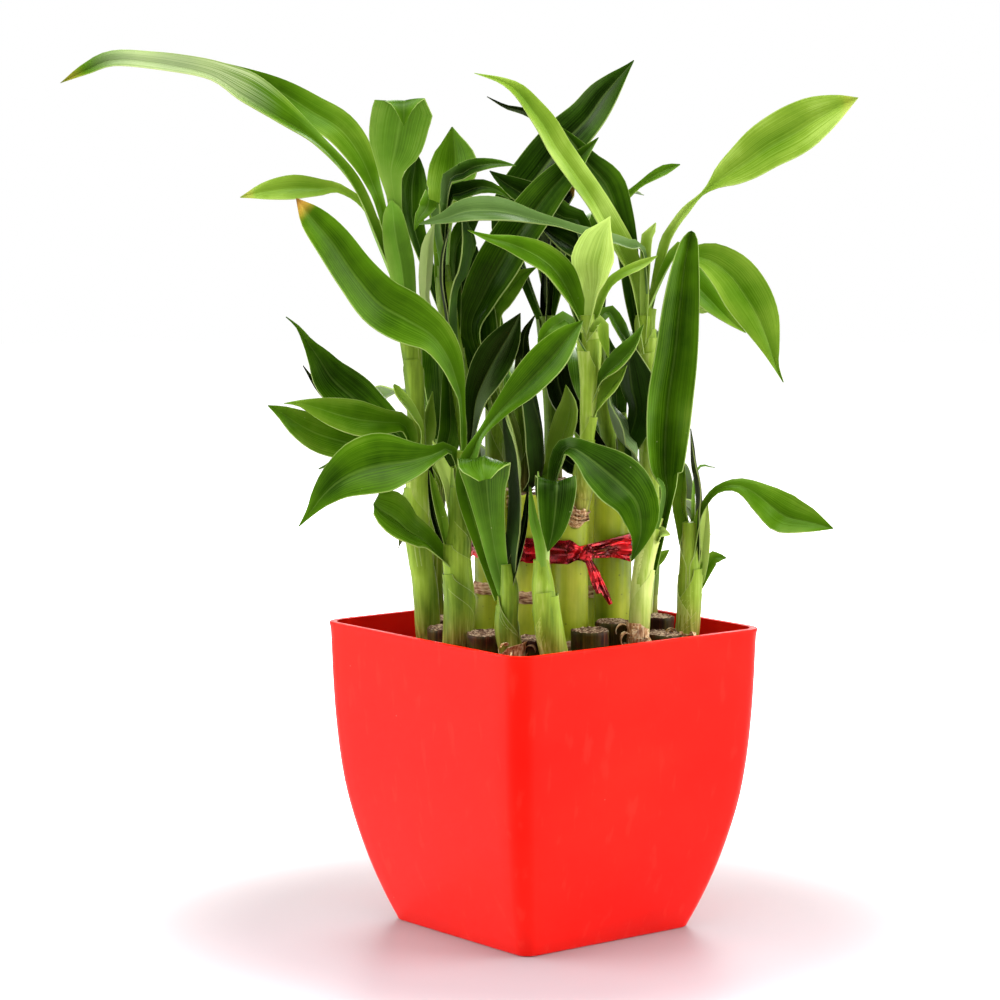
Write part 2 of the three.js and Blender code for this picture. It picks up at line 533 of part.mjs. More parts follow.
      [16.5, -1.5, 244, 10], [10.5, -3.5, 252.5, 10], [5, -4.5, 260, 10], [0.5, -6, 267.5, 9.5],
      [-3.5, -6, 273, 8], [-8.5, -7, 279, 6], [-14, -7.5, 282.5, 3],
      [-22.5, -8, 285, 0.7]], [-60, -60], 18),
    leaf([[34, 4, 188, 4], [30, 6.5, 209.5, 6], [28, 6.5, 226.5, 8], [24.5, 7.5, 239.5, 11],
      [21, 8.5, 248.5, 12.5], [15, 9, 255.5, 9], [10.5, 8.5, 262, 5], [6, 8, 267.5, 0.7]], [-65, -70], 14),
    leaf([[34, 2, 196, 3], [34.5, 1.5, 228, 4.5], [36, 1.5, 232.5, 4], [37.5, 1, 236, 0.7]], [70, 70], 16),
    leaf([[35, 4, 204, 3], [33, -1.5, 226, 4], [28, -4.5, 228.5, 5.5], [20, -8.5, 231.5, 4.5],
      [12, -11.5, 233.5, 4.5], [4, -14.5, 236, 5.5], [-4.5, -16.5, 238, 8.5], [-13, -17.5, 240, 12],
      [-20, -18.5, 240.5, 12], [-26, -19, 240, 9.5], [-32, -19.5, 238, 5],
      [-40.5, -19, 236, 0.7]], [-30, -45], 14),
    leaf([[35, 6, 188, 3], [46, 11.5, 208, 2.5], [51.5, 12.5, 207, 4], [55.5, 12.5, 207, 4],
      [59, 12, 207.5, 0.7]], [60, 60], 16),
  ],
  // Front shoot at the right, with the rolled upright leaf
  shoot_right_front: () => [
    stem([[28.5, -25, 94], [30.8, -28, 100], [31.8, -28, 117], [33.6, -26, 130], [37, -24, 141]],
      [2.4, 3.1, 2.9, 2.8, 2.4]),
    leaf([[36, -25, 122, 3], [40.5, -23, 147, 5.5], [40, -20, 154.5, 14], [40, -19, 165.5, 17.5],
      [41, -18.5, 179.5, 18.5], [43, -19, 194, 17], [44.5, -20, 210, 14.5], [46, -20, 223, 10.5],
      [47.5, -20, 231.5, 6.5], [48, -22, 234, 3]], [80, 80], 34),
    leaf([[37, -27.5, 136, 3.5], [39, -28.5, 144, 4.5], [39.5, -29.5, 151, 4.5],
      [37, -30, 154.5, 1]], [70, 70], 24),
    leaf([[36.5, -25.5, 131.5, 3.5], [38.5, -27.5, 135.5, 6], [39.5, -28.5, 136, 3],
      [41.5, -29, 135.5, 0.7]], [50, 50], 16),
    leaf([[33, -27, 108, 3], [34.5, -24.5, 122.5, 2], [37, -21.5, 125.5, 3.5], [39.5, -20.5, 128, 3],
      [41.5, -20, 129.5, 0.7]], [60, 60], 16),
  ],
  // Right shoot, with the low leaf that points away to the right
  shoot_right: () => [
    stem([[45, -18, 94], [47.5, -14, 99], [48.5, -13, 115], [48.5, -13, 138]],
      [2.4, 3.6, 3.4, 2.3]),
    leaf([[49, -14, 120, 3], [51.5, -14.5, 137, 4], [53.5, -16.5, 143.5, 3], [57, -19.5, 149, 3],
      [62.5, -21, 151, 5], [67.5, -22, 149.5, 8], [73, -23.5, 145.5, 12.5], [79, -24, 141, 15],
      [86.5, -26.5, 139.5, 9.5], [94.5, -28, 137.5, 0.7]], [45, 60], 16),
    leaf([[50, -12, 118, 4], [51, -12.5, 141, 9.5], [50.5, -13.5, 150, 12], [49, -14, 158.5, 7.5],
      [48.5, -15, 169, 0.7]], [-70, -70], 16),
    leaf([[49, -12, 118, 3], [47.5, -10, 135, 7], [46, -9.5, 142, 7.5], [46, -8.5, 148, 6.5],
      [47, -8, 157.5, 0.7]], [-80, -80], 16),
    leaf([[50, -12, 108, 3], [52.5, -9.5, 122.5, 5], [53.5, -10, 133.5, 4.5],
      [54.5, -11, 144.5, 0.7]], [70, 70], 24),
    leaf([[50, -12, 112, 3], [55.5, -9.5, 124, 5], [58, -9.5, 125.5, 4],
      [61, -10, 125.5, 0.7]], [60, 60], 16),
    leaf([[49, -11, 134, 2], [51.5, 0, 153.5, 1], [58, 6, 154, 0.7]], [60, 60], 10),
  ],
  // Shoot of the right cane, dark leaves behind the front ones
  shoot_cane_d: () => [
    stem([[25, -3, 140], [29, -2.5, 146], [28, -1, 154], [26, 0, 173]],
      [2.2, 3, 2.6, 2]),
    leaf([[27, -2, 148, 4], [30, -10, 159.5, 13], [25.5, -10.5, 165, 21], [22.5, -12, 173, 17.5],
      [21.5, -13, 179, 9], [22.5, -13, 183.5, 0.7]], [-70, -70], 14),
    leaf([[26, -1, 156, 4], [31, -7.5, 172.5, 13.5], [29.5, -8.5, 182.5, 18.5], [28.5, -9, 191, 12],
      [28, -9, 199.5, 0.7]], [-65, -65], 14),
    leaf([[26, -1, 152, 4], [15, 3.5, 166, 6.5], [6.5, 5.5, 178.5, 9.5], [5, 6, 191, 6.5],
      [6.5, 6, 203, 0.7]], [-65, -65], 16),
    leaf([[27, -2, 154, 4], [16.5, -6, 154, 4.5], [9.5, -7, 156.5, 8.5], [4.5, -7.5, 161.5, 5],
      [2, -8, 168, 0.7]], [-65, -65], 16),
    leaf([[26, 0, 162, 3], [25, 4, 174, 7], [24, 7, 186, 9], [22, 8, 198, 1]], [10, 10], 16),
  ],
  // Shoot of the left cane, with the broad upright leaf and its dark arching ones
  shoot_cane_a: () => [
    stem([[-20, -6, 138], [-23.5, -7.5, 144], [-23.5, -6, 156], [-25, -5, 168], [-27, -3, 181],
      [-31, -1, 203], [-33, 0, 222]],
      [2.2, 3.2, 3, 2.8, 2.8, 2.6, 2.2]),
    leaf([[-33, 0, 208, 4], [-33, 4, 240, 9], [-31, 6.5, 247, 15.5], [-29, 9, 254, 18.5], [-29, 9, 260, 14],
      [-29.5, 8.5, 263.5, 7.5], [-30, 8, 267.5, 0.7]], [0, 0], 12),
    leaf([[-33, -1, 214, 3], [-31, -5.5, 248, 6.5], [-27, -7.5, 252, 7.5], [-22.5, -9, 254.5, 6],
      [-17, -10.5, 255.5, 4], [-13, -11.5, 255.5, 2.5], [-9, -12.5, 255, 0.7]], [45, 60], 16),
    leaf([[-33, -1, 214, 3], [-30.5, -5.5, 242.5, 9], [-26, -7, 246, 8.5], [-20.5, -9, 248, 6],
      [-15, -10.5, 247, 3], [-10.5, -12, 244, 0.7]], [45, 60], 16),
    leaf([[-33, -1, 216, 3], [-37, -9.5, 242.5, 10], [-38, -11.5, 241, 5.5], [-40.5, -14.5, 238, 3.5],
      [-42, -17, 234, 0.7]], [-40, -40], 16),
    leaf([[-30, -2, 190, 3], [-38, -8.5, 209, 3], [-38.5, -10.5, 216.5, 4.5], [-38, -11.5, 224, 5],
      [-37.5, -12, 230, 4], [-35.5, -12, 236.5, 0.7]], [50, 50], 18),
    leaf([[-33, 1, 204, 4], [-42.5, 10, 233, 7], [-43.5, 12, 241, 11], [-43.5, 14, 248, 12],
      [-42.5, 14.5, 254, 7], [-42, 14, 259, 0.7]], [0, 0], 14),
    leaf([[-27, -4, 176, 4], [-28.5, -11.5, 211, 8.5], [-25, -12.5, 220, 15], [-23, -13.5, 228.5, 15.5],
      [-24.5, -13.5, 234.5, 8.5], [-26.5, -13, 239, 0.7]], [70, 70], 14),
    leaf([[-29, -1, 192, 4], [-29, 4, 222.5, 5], [-27, 6, 231.5, 7.5], [-23, 6.5, 238, 5],
      [-18, 7, 242.5, 0.7]], [60, 60], 16),
    leaf([[-24, -6, 150, 4], [-32, -5.5, 158.5, 7], [-30.5, -4.5, 168.5, 8.5], [-31, -4, 182.5, 5.5],
      [-32, -4, 194, 0.7]], [-65, -65], 16),
    leaf([[-26, -5, 168, 3], [-32.5, -12, 209.5, 5.5], [-33.5, -13, 220.5, 8.5], [-32.5, -14, 228.5, 7],
      [-30, -14.5, 236, 0.7]], [-70, -70], 16),
  ],
  // Shoot of the front left cane, dark upright leaves in the middle
  shoot_cane_b: () => [
    stem([[-5, -14, 140], [-7.5, -11.5, 147], [-7, -11, 156], [-9, -10, 182]],
      [2.2, 3, 2.6, 2]),
    leaf([[-9, -10, 168, 3], [-7, -8, 186, 5], [-6.5, -8.5, 193, 5], [-6, -7.5, 199.5, 3],
      [-2.5, -8, 206, 0.7]], [70, 70], 16),
    leaf([[-7, -11, 150, 4], [3, -12.5, 155, 6.5], [5.5, -13.5, 163.5, 9.5], [8, -15, 171.5, 10],
      [9, -15, 177.5, 7], [7.5, -16, 183.5, 0.7]], [70, 70], 16),
    leaf([[-5.5, -12, 147, 4], [-0.5, -18, 154.5, 10], [-0.5, -19.5, 165.5, 14], [-2.5, -20, 175, 13.5],
      [-5, -19.5, 184, 8.5], [-7, -19, 192.5, 0.7]], [75, 75], 16),
    leaf([[-9, -12.5, 150, 4], [-8.5, -16.5, 158.5, 7], [-10.5, -18.5, 168, 10.5], [-13, -20, 178, 7.5],
      [-15, -20, 186, 0.7]], [-60, -60], 16),
  ],
  // Shoot of the back left cane, with the dark leaf that points up to the right
  shoot_cane_g: () => [
    stem([[-13, 9, 140], [-15, 6, 146], [-15.5, 5, 158], [-15, 3, 194]],
      [2.2, 3, 2.8, 2.2]),
    leaf([[-15, 3, 178, 4], [-23.5, 3, 199, 10], [-19.5, 1.5, 211.5, 14.5], [-14.5, -0.5, 221, 17],
      [-9.5, -1.5, 230, 16.5], [-4, -1, 238, 15.5], [2, 0.5, 246, 13], [8.5, 2, 253, 9.5],
      [14, 2.5, 259, 4.5], [18.5, 2, 264, 0.7]], [60, 70], 16),
    leaf([[-15, 4, 182, 4], [-17, 5.5, 204, 8], [-13, 6, 211, 8.5], [-9, 7, 216, 7], [-5.5, 6.5, 219, 3.5],
      [-2, 6, 221, 0.7]], [60, 65], 16),
    leaf([[-15, 4, 170, 4], [-20, 4, 190, 13], [-23, 5, 208, 15], [-22, 6, 228, 1]], [-80, -80], 14),
    arch([-15, 6, 178], 132, 40, 52, 6, 13, [0, 0]),
  ],
  // Shoot of the back cane, with the highest dark leaf
  shoot_cane_f: () => [
    stem([[5, 21, 140], [4, 25, 147], [4, 24, 160], [3.5, 24, 180], [1.5, 23, 204]],
      [2.2, 3.2, 3, 2.8, 2.4]),
    leaf([[1, 23, 201, 4], [-7.5, 23.5, 222.5, 6.5], [-11.5, 23.5, 230.5, 10.5], [-9, 22, 241, 16],
      [-0.5, 20, 252, 19], [7.5, 18.5, 262, 18.5], [15, 17.5, 270, 15.5], [20, 16, 277, 13],
      [24.5, 15, 282.5, 8], [28, 14.5, 286.5, 3.5], [30.5, 14, 289.5, 0.7]], [60, 70], 12),
    leaf([[1.5, 24, 200, 3], [4.5, 22.5, 246.5, 3.5], [3.5, 22.5, 259.5, 4], [-0.5, 22.5, 269, 4],
      [-6, 22.5, 272.5, 3], [-12, 22, 274, 2], [-18.5, 22, 277.5, 0.7]], [-60, -60], 16),
    leaf([[1.5, 23, 198, 4], [2, 18.5, 229.5, 7.5], [4, 18, 237.5, 11.5], [7.5, 17.5, 242.5, 10],
      [10, 17.5, 245.5, 7.5], [11, 17, 247.5, 2]], [60, 60], 16),
    arch([3, 24, 200], 66, 50, 46, 14, 14, [0, 0]),
    arch([3, 25, 202], 104, 44, 52, 8, 12, [0, 0]),
  ],
  // Shoot of the back right cane
  shoot_cane_e: () => [
    stem([[23, 12, 140], [26, 14, 146], [24, 15, 158], [20, 15, 180], [17, 15, 206]],
      [2.2, 3, 2.8, 2.6, 2.2]),
    leaf([[17, 15, 196, 3], [22.5, 13.5, 230, 3], [23.5, 12.5, 239, 2.5], [27.5, 12.5, 243.5, 3.5],
      [32.5, 12.5, 248, 2.5], [38, 12.5, 251.5, 4], [42, 12.5, 253.5, 4],
      [46, 12, 255, 0.7]], [50, 60], 16),
    leaf([[18, 15, 186, 4], [14, 14, 204, 11], [11, 14, 220, 12], [13, 14, 236, 1]], [-70, -70], 16),
    leaf([[18, 15, 188, 4], [18.5, 9.5, 222.5, 7.5], [13.5, 8, 226, 11], [6.5, 6, 230, 11.5],
      [1.5, 4.5, 233.5, 6.5], [-2.5, 4, 236.5, 0.7]], [-60, -60], 16),
    leaf([[17, 15, 198, 4], [13.5, 10, 233, 6.5], [7, 7, 237.5, 10.5], [-1.5, 6.5, 242.5, 12],
      [-9.5, 6, 247, 8], [-14.5, 5.5, 250.5, 4], [-17.5, 5, 253, 0.7]], [-60, -65], 16),
    arch([16.5, 16, 206], 60, 38, 44, 6, 12, [0, 0]),
  ],
  // Back shoots, seen through the gaps and from behind
  shoot_back_left: () => [
    stem([[-33, 18, 92], [-36, 19.5, 98], [-37, 20, 118], [-36, 21, 140], [-34, 22, 162]],
      [2.4, 3.6, 3.4, 3, 2.4]),
    arch([-34, 22, 144], 158, 46, 18, 12, 14, [-30, -40]),
    arch([-34, 22, 156], 120, 64, 30, 24, 17, [0, 0]),
    arch([-34, 22, 154], 96, 40, 52, 6, 13, [0, 0]),
    arch([-36, 21, 134], 106, 52, 14, 30, 13, [0, 0]),
  ],
  shoot_back_middle_left: () => [
    stem([[-14, 34, 92], [-15, 38.5, 98], [-14, 40, 120], [-12, 41, 146], [-11, 42, 172]],
      [2.4, 3.6, 3.4, 3, 2.4]),
    arch([-11, 42, 160], 122, 66, 34, 26, 18, [0, 0]),
    arch([-11, 42, 164], 84, 60, 30, 22, 16, [0, 0]),
    arch([-12, 41, 146], 102, 62, 16, 34, 16, [0, 0]),
  ],
  shoot_back_middle_right: () => [
    stem([[11, 38, 92], [12, 42.5, 98], [13, 43, 118], [14, 44, 138], [15, 44, 158]],
      [2.4, 3.6, 3.4, 3, 2.4]),
    arch([15, 44, 146], 62, 60, 28, 28, 17, [0, 0]),
    arch([15, 44, 152], 96, 44, 46, 12, 15, [0, 0]),
    arch([14, 44, 132], 82, 58, 12, 34, 15, [0, 0]),
  ],
  shoot_back_right: () => [
    stem([[33, 26, 92], [36, 28.5, 98], [37, 29, 120], [37, 30, 145], [36, 30, 170]],
      [2.4, 3.6, 3.4, 3, 2.4]),
    arch([36, 30, 154], 66, 46, 40, 16, 16, [10, 20]),
    arch([36, 30, 164], 96, 36, 38, 8, 15, [0, 0]),
    arch([37, 30, 140], 70, 56, 16, 32, 15, [0, 0]),
    arch([37, 30, 132], 56, 42, 14, 22, 12, [20, 30]),
  ],
};

// Outline of the inner bundle: the outermost cane's surface in each direction
function bundlePoint(angle, clear) {
  const dx = Math.cos(angle);
  const dy = Math.sin(angle);
  const reach = ([, top, radius]) => top[0] * dx + top[1] * dy + radius;
  const far = INNER_CANES.reduce((best, entry) => (reach(entry) > reach(best) ? entry : best));
  return [far[1][0] + (far[2] + clear) * dx, far[1][1] + (far[2] + clear) * dy];
}

// Crinkled band: its edges and its outside wander a little from station to station
function ribbonBand() {
  const points = [];
  const triangles = [];
  for (let i = 0; i < BAND_STATIONS; i += 1) {
    const a = i / BAND_STATIONS * 2 * Math.PI;
    const low = BAND_LOW + 0.7 * Math.sin(11 * a + 1);
    const high = BAND_HIGH + 0.6 * Math.sin(7 * a);
    const swell = FOIL_THICKNESS * (1.4 + 0.5 * Math.sin(13 * a));
    const at = (clear, z) => turned([...bundlePoint(a, clear), z]);
    const outside = FOIL_GAP + FOIL_THICKNESS;
    points.push(at(FOIL_GAP, low), at(outside, low), at(FOIL_GAP + swell, (low + high) / 2));
    points.push(at(outside, high), at(FOIL_GAP, high));
  }
  for (let i = 0; i < BAND_STATIONS; i += 1) {
    const next = (i + 1) % BAND_STATIONS;
    for (let k = 0; k < 5; k += 1) {
      const a = i * 5 + k;
      const b = i * 5 + (k + 1) % 5;
      const c = next * 5 + k;
      const d = next * 5 + (k + 1) % 5;
      triangles.push([a, c, d], [a, d, b]);
    }
  }
  return solid(points, triangles);
}

// Flat strip of foil along its spine, with a width at each point
function foilStrip(spine, widths, across) {
  const curve = curveOf(spine);
  const steps = spine.length - 1;
  const rings = widths.map((width, i) => {
    const p = curve.getPoint(i / steps);
    const t = curve.getTangent(i / steps);
    const s = vector(across).addScaledVector(t, -vector(across).dot(t)).normalize();
    const n = new THREE.Vector3().crossVectors(t, s);
    return [[-1, -1], [1, -1], [1, 1], [-1, 1]].map(([u, v]) => {
      const q = p.clone().addScaledVector(s, u * width / 2).addScaledVector(n, v * FOIL_THICKNESS / 2);
      return turned([q.x, q.y, q.z]);
    });
  });
  return loft(rings);
}

// Knot: a small crumpled wad
function ribbonKnot() {
  const levels = [[-3.4, 0.4], [-1.8, 1], [0.3, 0.8], [2.2, 1], [3.4, 0.35]];
  const rings = levels.map(([z, size], level) => {
    const ring = [];
    for (let i = 0; i < 7; i += 1) {
      const a = i / 7 * 2 * Math.PI;
      const r = size * (1 + 0.16 * Math.sin(3 * a + level * 2));
      ring.push(turned([12.6 + 3.5 * r * Math.cos(a), -28.4 + 1.9 * r * Math.sin(a), 129 + z]));
    }
    return ring;
  });
  return loft(rings);
}

function ribbon() {
  return union([
    ribbonBand(),
    ribbonKnot(),
    foilStrip([[13, -28.2, 129], [20, -23.4, 129.5], [29, -17.5, 131]], [3, 5, 7.5], [0, 0, 1]),
    foilStrip([[12.6, -28.8, 128], [15.4, -30.4, 119], [18.2, -31, 108.5]], [2.4, 2.8, 2.6], [1, 0, 0]),
    foilStrip([[13.2, -28.6, 128], [17.2, -29.2, 119.5], [21, -29.6, 109.5]], [2.4, 2.6, 2.2], [1, 0.2, 0]),
  ]);
}


// Cane that each shoot grows from
const HOSTS = {
  shoot_tall_left: 'short_cane_8',
  shoot_front_left: 'short_cane_5',
  shoot_front_middle: 'short_cane_4',
  shoot_front_right: 'short_cane_4',
  shoot_cane_c: 'cane_c',
  shoot_tall_right: 'short_cane_7',
  shoot_right_front: 'short_cane_2',
  shoot_right: 'short_cane_6',
  shoot_cane_d: 'cane_d',
  shoot_cane_a: 'cane_a',
  shoot_cane_b: 'cane_b',
  shoot_cane_g: 'cane_g',
  shoot_cane_f: 'cane_f',
  shoot_cane_e: 'cane_e',
  shoot_back_left: 'short_cane_9',
  shoot_back_middle_left: 'short_cane_10',
  shoot_back_middle_right: 'short_cane_11',
  shoot_back_right: 'short_cane_12',
};

const group = new THREE.Group();
group.name = 'lucky_bamboo';
group.add(meshOf(pot(), 'pot', redPlastic()));

const caneEntries = new Map();
INNER_CANES.forEach((entry) => caneEntries.set(entry[0], [entry, INNER_FOOT]));
OUTER_CANES.forEach((entry) => caneEntries.set(entry[0], [entry, OUTER_FOOT]));
const holes = [...caneEntries.values()].map(([entry, foot]) => caneOf(entry, foot, CANE_GAP));
group.add(meshOf(pebbleFill(holes), 'pebble_filling', greyPebbles()));

for (const [name, [entry, foot]] of caneEntries) {
  const skin = foot === INNER_FOOT ? innerCaneSkin() : outerCaneSkin();
  group.add(meshOf(caneOf(entry, foot), name, skin));
}

group.add(meshOf(ribbon(), 'foil_ribbon', redFoil()));

for (const [name, parts] of Object.entries(shoots)) {
  const [entry, foot] = caneEntries.get(HOSTS[name]);
  const seat = caneOf(entry, foot, CANE_GAP, CANE_GAP);
  group.add(meshOf(largest(union(parts()).subtract(seat)), name, leafGreen()));
}

export default group;
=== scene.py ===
import math
import random

import bpy
from mathutils import Matrix, Vector, noise


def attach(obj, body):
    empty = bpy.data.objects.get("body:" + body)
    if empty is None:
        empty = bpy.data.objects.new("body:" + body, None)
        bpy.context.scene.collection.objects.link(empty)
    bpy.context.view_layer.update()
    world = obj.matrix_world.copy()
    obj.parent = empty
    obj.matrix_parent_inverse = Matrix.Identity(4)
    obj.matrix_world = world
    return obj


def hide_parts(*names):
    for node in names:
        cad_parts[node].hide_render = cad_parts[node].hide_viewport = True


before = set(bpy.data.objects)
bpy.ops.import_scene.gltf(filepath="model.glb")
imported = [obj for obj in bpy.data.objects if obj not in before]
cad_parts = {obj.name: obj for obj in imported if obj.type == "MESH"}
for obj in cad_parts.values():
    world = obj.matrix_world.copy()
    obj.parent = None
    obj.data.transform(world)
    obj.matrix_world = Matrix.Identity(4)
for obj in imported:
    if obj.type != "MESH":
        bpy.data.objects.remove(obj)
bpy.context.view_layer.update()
scene = bpy.context.scene
scene.view_settings.view_transform = "Standard"  # plain studio colours

# The plant is laid out in millimetres, x to the right and y away from the viewer, then turned onto the pot
turnDegrees = 51.6
viewTurn = Matrix.Rotation(math.radians(turnDegrees), 4, "Z")
mm = 0.001
fullTurn = 6.28  # radians, close enough for a random turn


def turned(point):
    return viewTurn @ (Vector(point) * mm)


# Handling of pieces
def selectOnly(*pieces):
    bpy.ops.object.select_all(action="DESELECT")
    for piece in pieces:
        piece.select_set(True)
    bpy.context.view_layer.objects.active = pieces[0]


def copyPiece(master, name):
    piece = master.copy()
    piece.data = master.data.copy()
    piece.name = piece.data.name = name
    scene.collection.objects.link(piece)
    return piece


def joinPieces(pieces, name):
    selectOnly(*pieces)
    if len(pieces) > 1:
        bpy.ops.object.join()
    pieces[0].name = pieces[0].data.name = name
    return pieces[0]


def finishWith(piece, kind, **values):
    selectOnly(piece)
    modifier = piece.modifiers.new(kind.title(), kind)
    for key, value in values.items():
        setattr(modifier, key, value)
    bpy.ops.object.modifier_apply(modifier=modifier.name)


def mergeSeams(piece):
    selectOnly(piece)
    bpy.ops.object.mode_set(mode="EDIT")
    bpy.ops.mesh.select_all(action="SELECT")
    bpy.ops.mesh.remove_doubles(threshold=0.004 * mm)
    bpy.ops.object.mode_set(mode="OBJECT")


def smooth(piece, degrees=40):
    selectOnly(piece)
    bpy.ops.object.shade_smooth_by_angle(angle=math.radians(degrees))


def standsFor(piece, nodes):
    selectOnly(piece)
    bpy.ops.object.transform_apply(location=True, rotation=True, scale=True)
    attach(piece, "root")
    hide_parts(*nodes)


# A flat grid is added once for each density, and its copies are bent into leaves, sheaths, stems and foil
grids = {}


def sheet(name, across, along, place):
    if (across, along) not in grids:
        bpy.ops.object.select_all(action="DESELECT")
        bpy.ops.mesh.primitive_grid_add(x_subdivisions=across, y_subdivisions=along, size=1)
        grids[across, along] = bpy.context.object
    piece = copyPiece(grids[across, along], name)
    for vertex in piece.data.vertices:
        vertex.co = place(vertex.co.x + 0.5, vertex.co.y + 0.5)
    return piece


# Colour of growth, kept on the mesh: red is how bright it is, which on blades and stems also paints the
# light and shade that fall on them, green how aged, blue how much painted greyish sheen it carries and alpha
# how much of the painted pale highlight band
def setGrowth(piece, growth):
    layer = piece.data.color_attributes.new("growth", "FLOAT_COLOR", "POINT")
    values = []
    for index in range(len(piece.data.vertices)):
        values.extend((*growth(index), 0.0, 0.0)[:4])
    layer.data.foreach_set("color", values)


# How broad a blade is at each place, from 0 at a thread to 1 at 12 mm
def setBreadth(piece, breadths):
    piece.data.attributes.new("breadth", "FLOAT", "POINT").data.foreach_set("value", breadths)


lineSteps = 160


# Smooth line through points, run through at even steps of its length
def smoothLine(points):
    points = [Vector(point) for point in points]
    padded = [2 * points[0] - points[1], *points, 2 * points[-1] - points[-2]]

    def at(t):
        place = min(max(t, 0), 1) * (len(points) - 1)
        i = min(int(place), len(points) - 2)
        w = place - i
        a, b, c, d = padded[i:i + 4]
        bend = (2 * a - 5 * b + 4 * c - d) * w * w + (3 * b - a - 3 * c + d) * w ** 3
        return 0.5 * (2 * b + (c - a) * w + bend)

    def heading(t):
        return (at(t + 0.0005) - at(t - 0.0005)).normalized()

    reach = [0]
    for i in range(lineSteps):
        reach.append(reach[-1] + (at((i + 1) / lineSteps) - at(i / lineSteps)).length)

    def share(u):
        goal = min(max(u, 0), 1) * reach[-1]
        for i in range(lineSteps):
            if reach[i + 1] >= goal:
                return (i + (goal - reach[i]) / max(reach[i + 1] - reach[i], 1e-9)) / lineSteps
        return 1.0

    return at, heading, share, reach[-1]


def ease(value, low, high):
    t = min(max((value - low) / (high - low), 0), 1)
    return t * t * (3 - 2 * t)


# Node helpers
def paint(code):
    parts = [int(code[i:i + 2], 16) / 255 for i in (0, 2, 4)]
    return (*[p / 12.92 if p < 0.04045 else ((p + 0.055) / 1.055) ** 2.4 for p in parts], 1.0)


def addNode(tree, kind, inputs=None, **settings):
    made = tree.nodes.new(kind)
    for key, value in settings.items():
        setattr(made, key, value)
    for key, value in (inputs or {}).items():
        if isinstance(value, bpy.types.NodeSocket):
            tree.links.new(value, made.inputs[key])
        else:
            made.inputs[key].default_value = value
    return made


def maths(tree, operation, *values):
    return addNode(tree, "ShaderNodeMath", dict(enumerate(values)), operation=operation).outputs[0]


def span(tree, value, low, high, outLow=0.0, outHigh=1.0):
    ends = {"Value": value, "From Min": low, "From Max": high, "To Min": outLow, "To Max": outHigh}
    return addNode(tree, "ShaderNodeMapRange", ends, interpolation_type="SMOOTHSTEP").outputs["Result"]


def blend(tree, factor, first, second, kind="MIX"):
    sockets = {0: factor, 6: first, 7: second}
    return addNode(tree, "ShaderNodeMix", sockets, data_type="RGBA", blend_type=kind).outputs[2]


def ramp(tree, factor, stops):
    made = addNode(tree, "ShaderNodeValToRGB", {"Fac": factor})
    while len(made.color_ramp.elements) < len(stops):
        made.color_ramp.elements.new(0.5)
    for element, (position, code) in zip(made.color_ramp.elements, stops):
        element.position = position
        element.color = paint(code)
    return made.outputs["Color"]


def newGroup(name, inputs, outputs):
    group = bpy.data.node_groups.new(name, "ShaderNodeTree")
    for label, kind, value in inputs:
        socket = group.interface.new_socket(label, in_out="INPUT", socket_type=kind)
        if value is not None:
            socket.default_value = value
    for label, kind in outputs:
        group.interface.new_socket(label, in_out="OUTPUT", socket_type=kind)
    return group, group.nodes.new("NodeGroupInput").outputs, group.nodes.new("NodeGroupOutput").inputs


def useGroup(tree, group, inputs):
    made = tree.nodes.new("ShaderNodeGroup")
    made.node_tree = group
    for key, value in inputs.items():
        if isinstance(value, bpy.types.NodeSocket):
            tree.links.new(value, made.inputs[key])
        else:
            made.inputs[key].default_value = value
    return made.outputs


def newMaterial(name, **values):
    material = bpy.data.materials.new(name)
    material.use_nodes = True
    shader = material.node_tree.nodes["Principled BSDF"]
    for key, value in values.items():
        shader.inputs[key.replace("_", " ")].default_value = value
    return material, material.node_tree, shader


def finishShader(tree, shader, colour, rough=None, height=None, strength=0.3, depth=0.3):
    tree.links.new(colour, shader.inputs["Base Color"])
    if rough is not None:
        tree.links.new(rough, shader.inputs["Roughness"])
    if height is not None:
        inputs = {"Height": height, "Strength": strength, "Distance": depth * mm}
        bump = addNode(tree, "ShaderNodeBump", inputs)
        tree.links.new(bump.outputs["Normal"], shader.inputs["Normal"])


def objectPlace(tree):
    return addNode(tree, "ShaderNodeTexCoord").outputs["Object"]


# Ways across and along a sheet, from its own map
def sheetWays(tree):
    mapped = addNode(tree, "ShaderNodeUVMap").outputs[0]
    return addNode(tree, "ShaderNodeSeparateXYZ", {0: mapped}).outputs


# Tone with its painted shade, age, painted greyish sheen and painted pale highlight band of the growth colour
def growthOf(tree):
    growth = addNode(tree, "ShaderNodeAttribute", attribute_name="growth").outputs
    parts = addNode(tree, "ShaderNodeSeparateColor", {0: growth["Color"]}).outputs
    return parts[0], parts[1], parts[2], growth["Alpha"]


floatKind, vectorKind = "NodeSocketFloat", "NodeSocketVector"

# Cloudy unevenness, stretched along an axis where it runs with the grain
mottle, given, result = newGroup("mottle", [
    ("Vector", vectorKind, None), ("Stretch", vectorKind, (1, 1, 1)), ("Scale", floatKind, 200.0),
    ("Contrast", floatKind, 1.0)], [("Value", floatKind)])
stretched = addNode(mottle, "ShaderNodeVectorMath", {0: given["Vector"], 1: given["Stretch"]},
                    operation="MULTIPLY").outputs[0]
cloud = addNode(mottle, "ShaderNodeTexNoise", {"Vector": stretched, "Scale": given["Scale"], "Detail": 4.0})
centred = maths(mottle, "SUBTRACT", cloud.outputs["Fac"], 0.5)
cloudy = maths(mottle, "MULTIPLY_ADD", centred, given["Contrast"], 0.5)
mottle.links.new(addNode(mottle, "ShaderNodeClamp", {0: cloudy}).outputs[0], result["Value"])

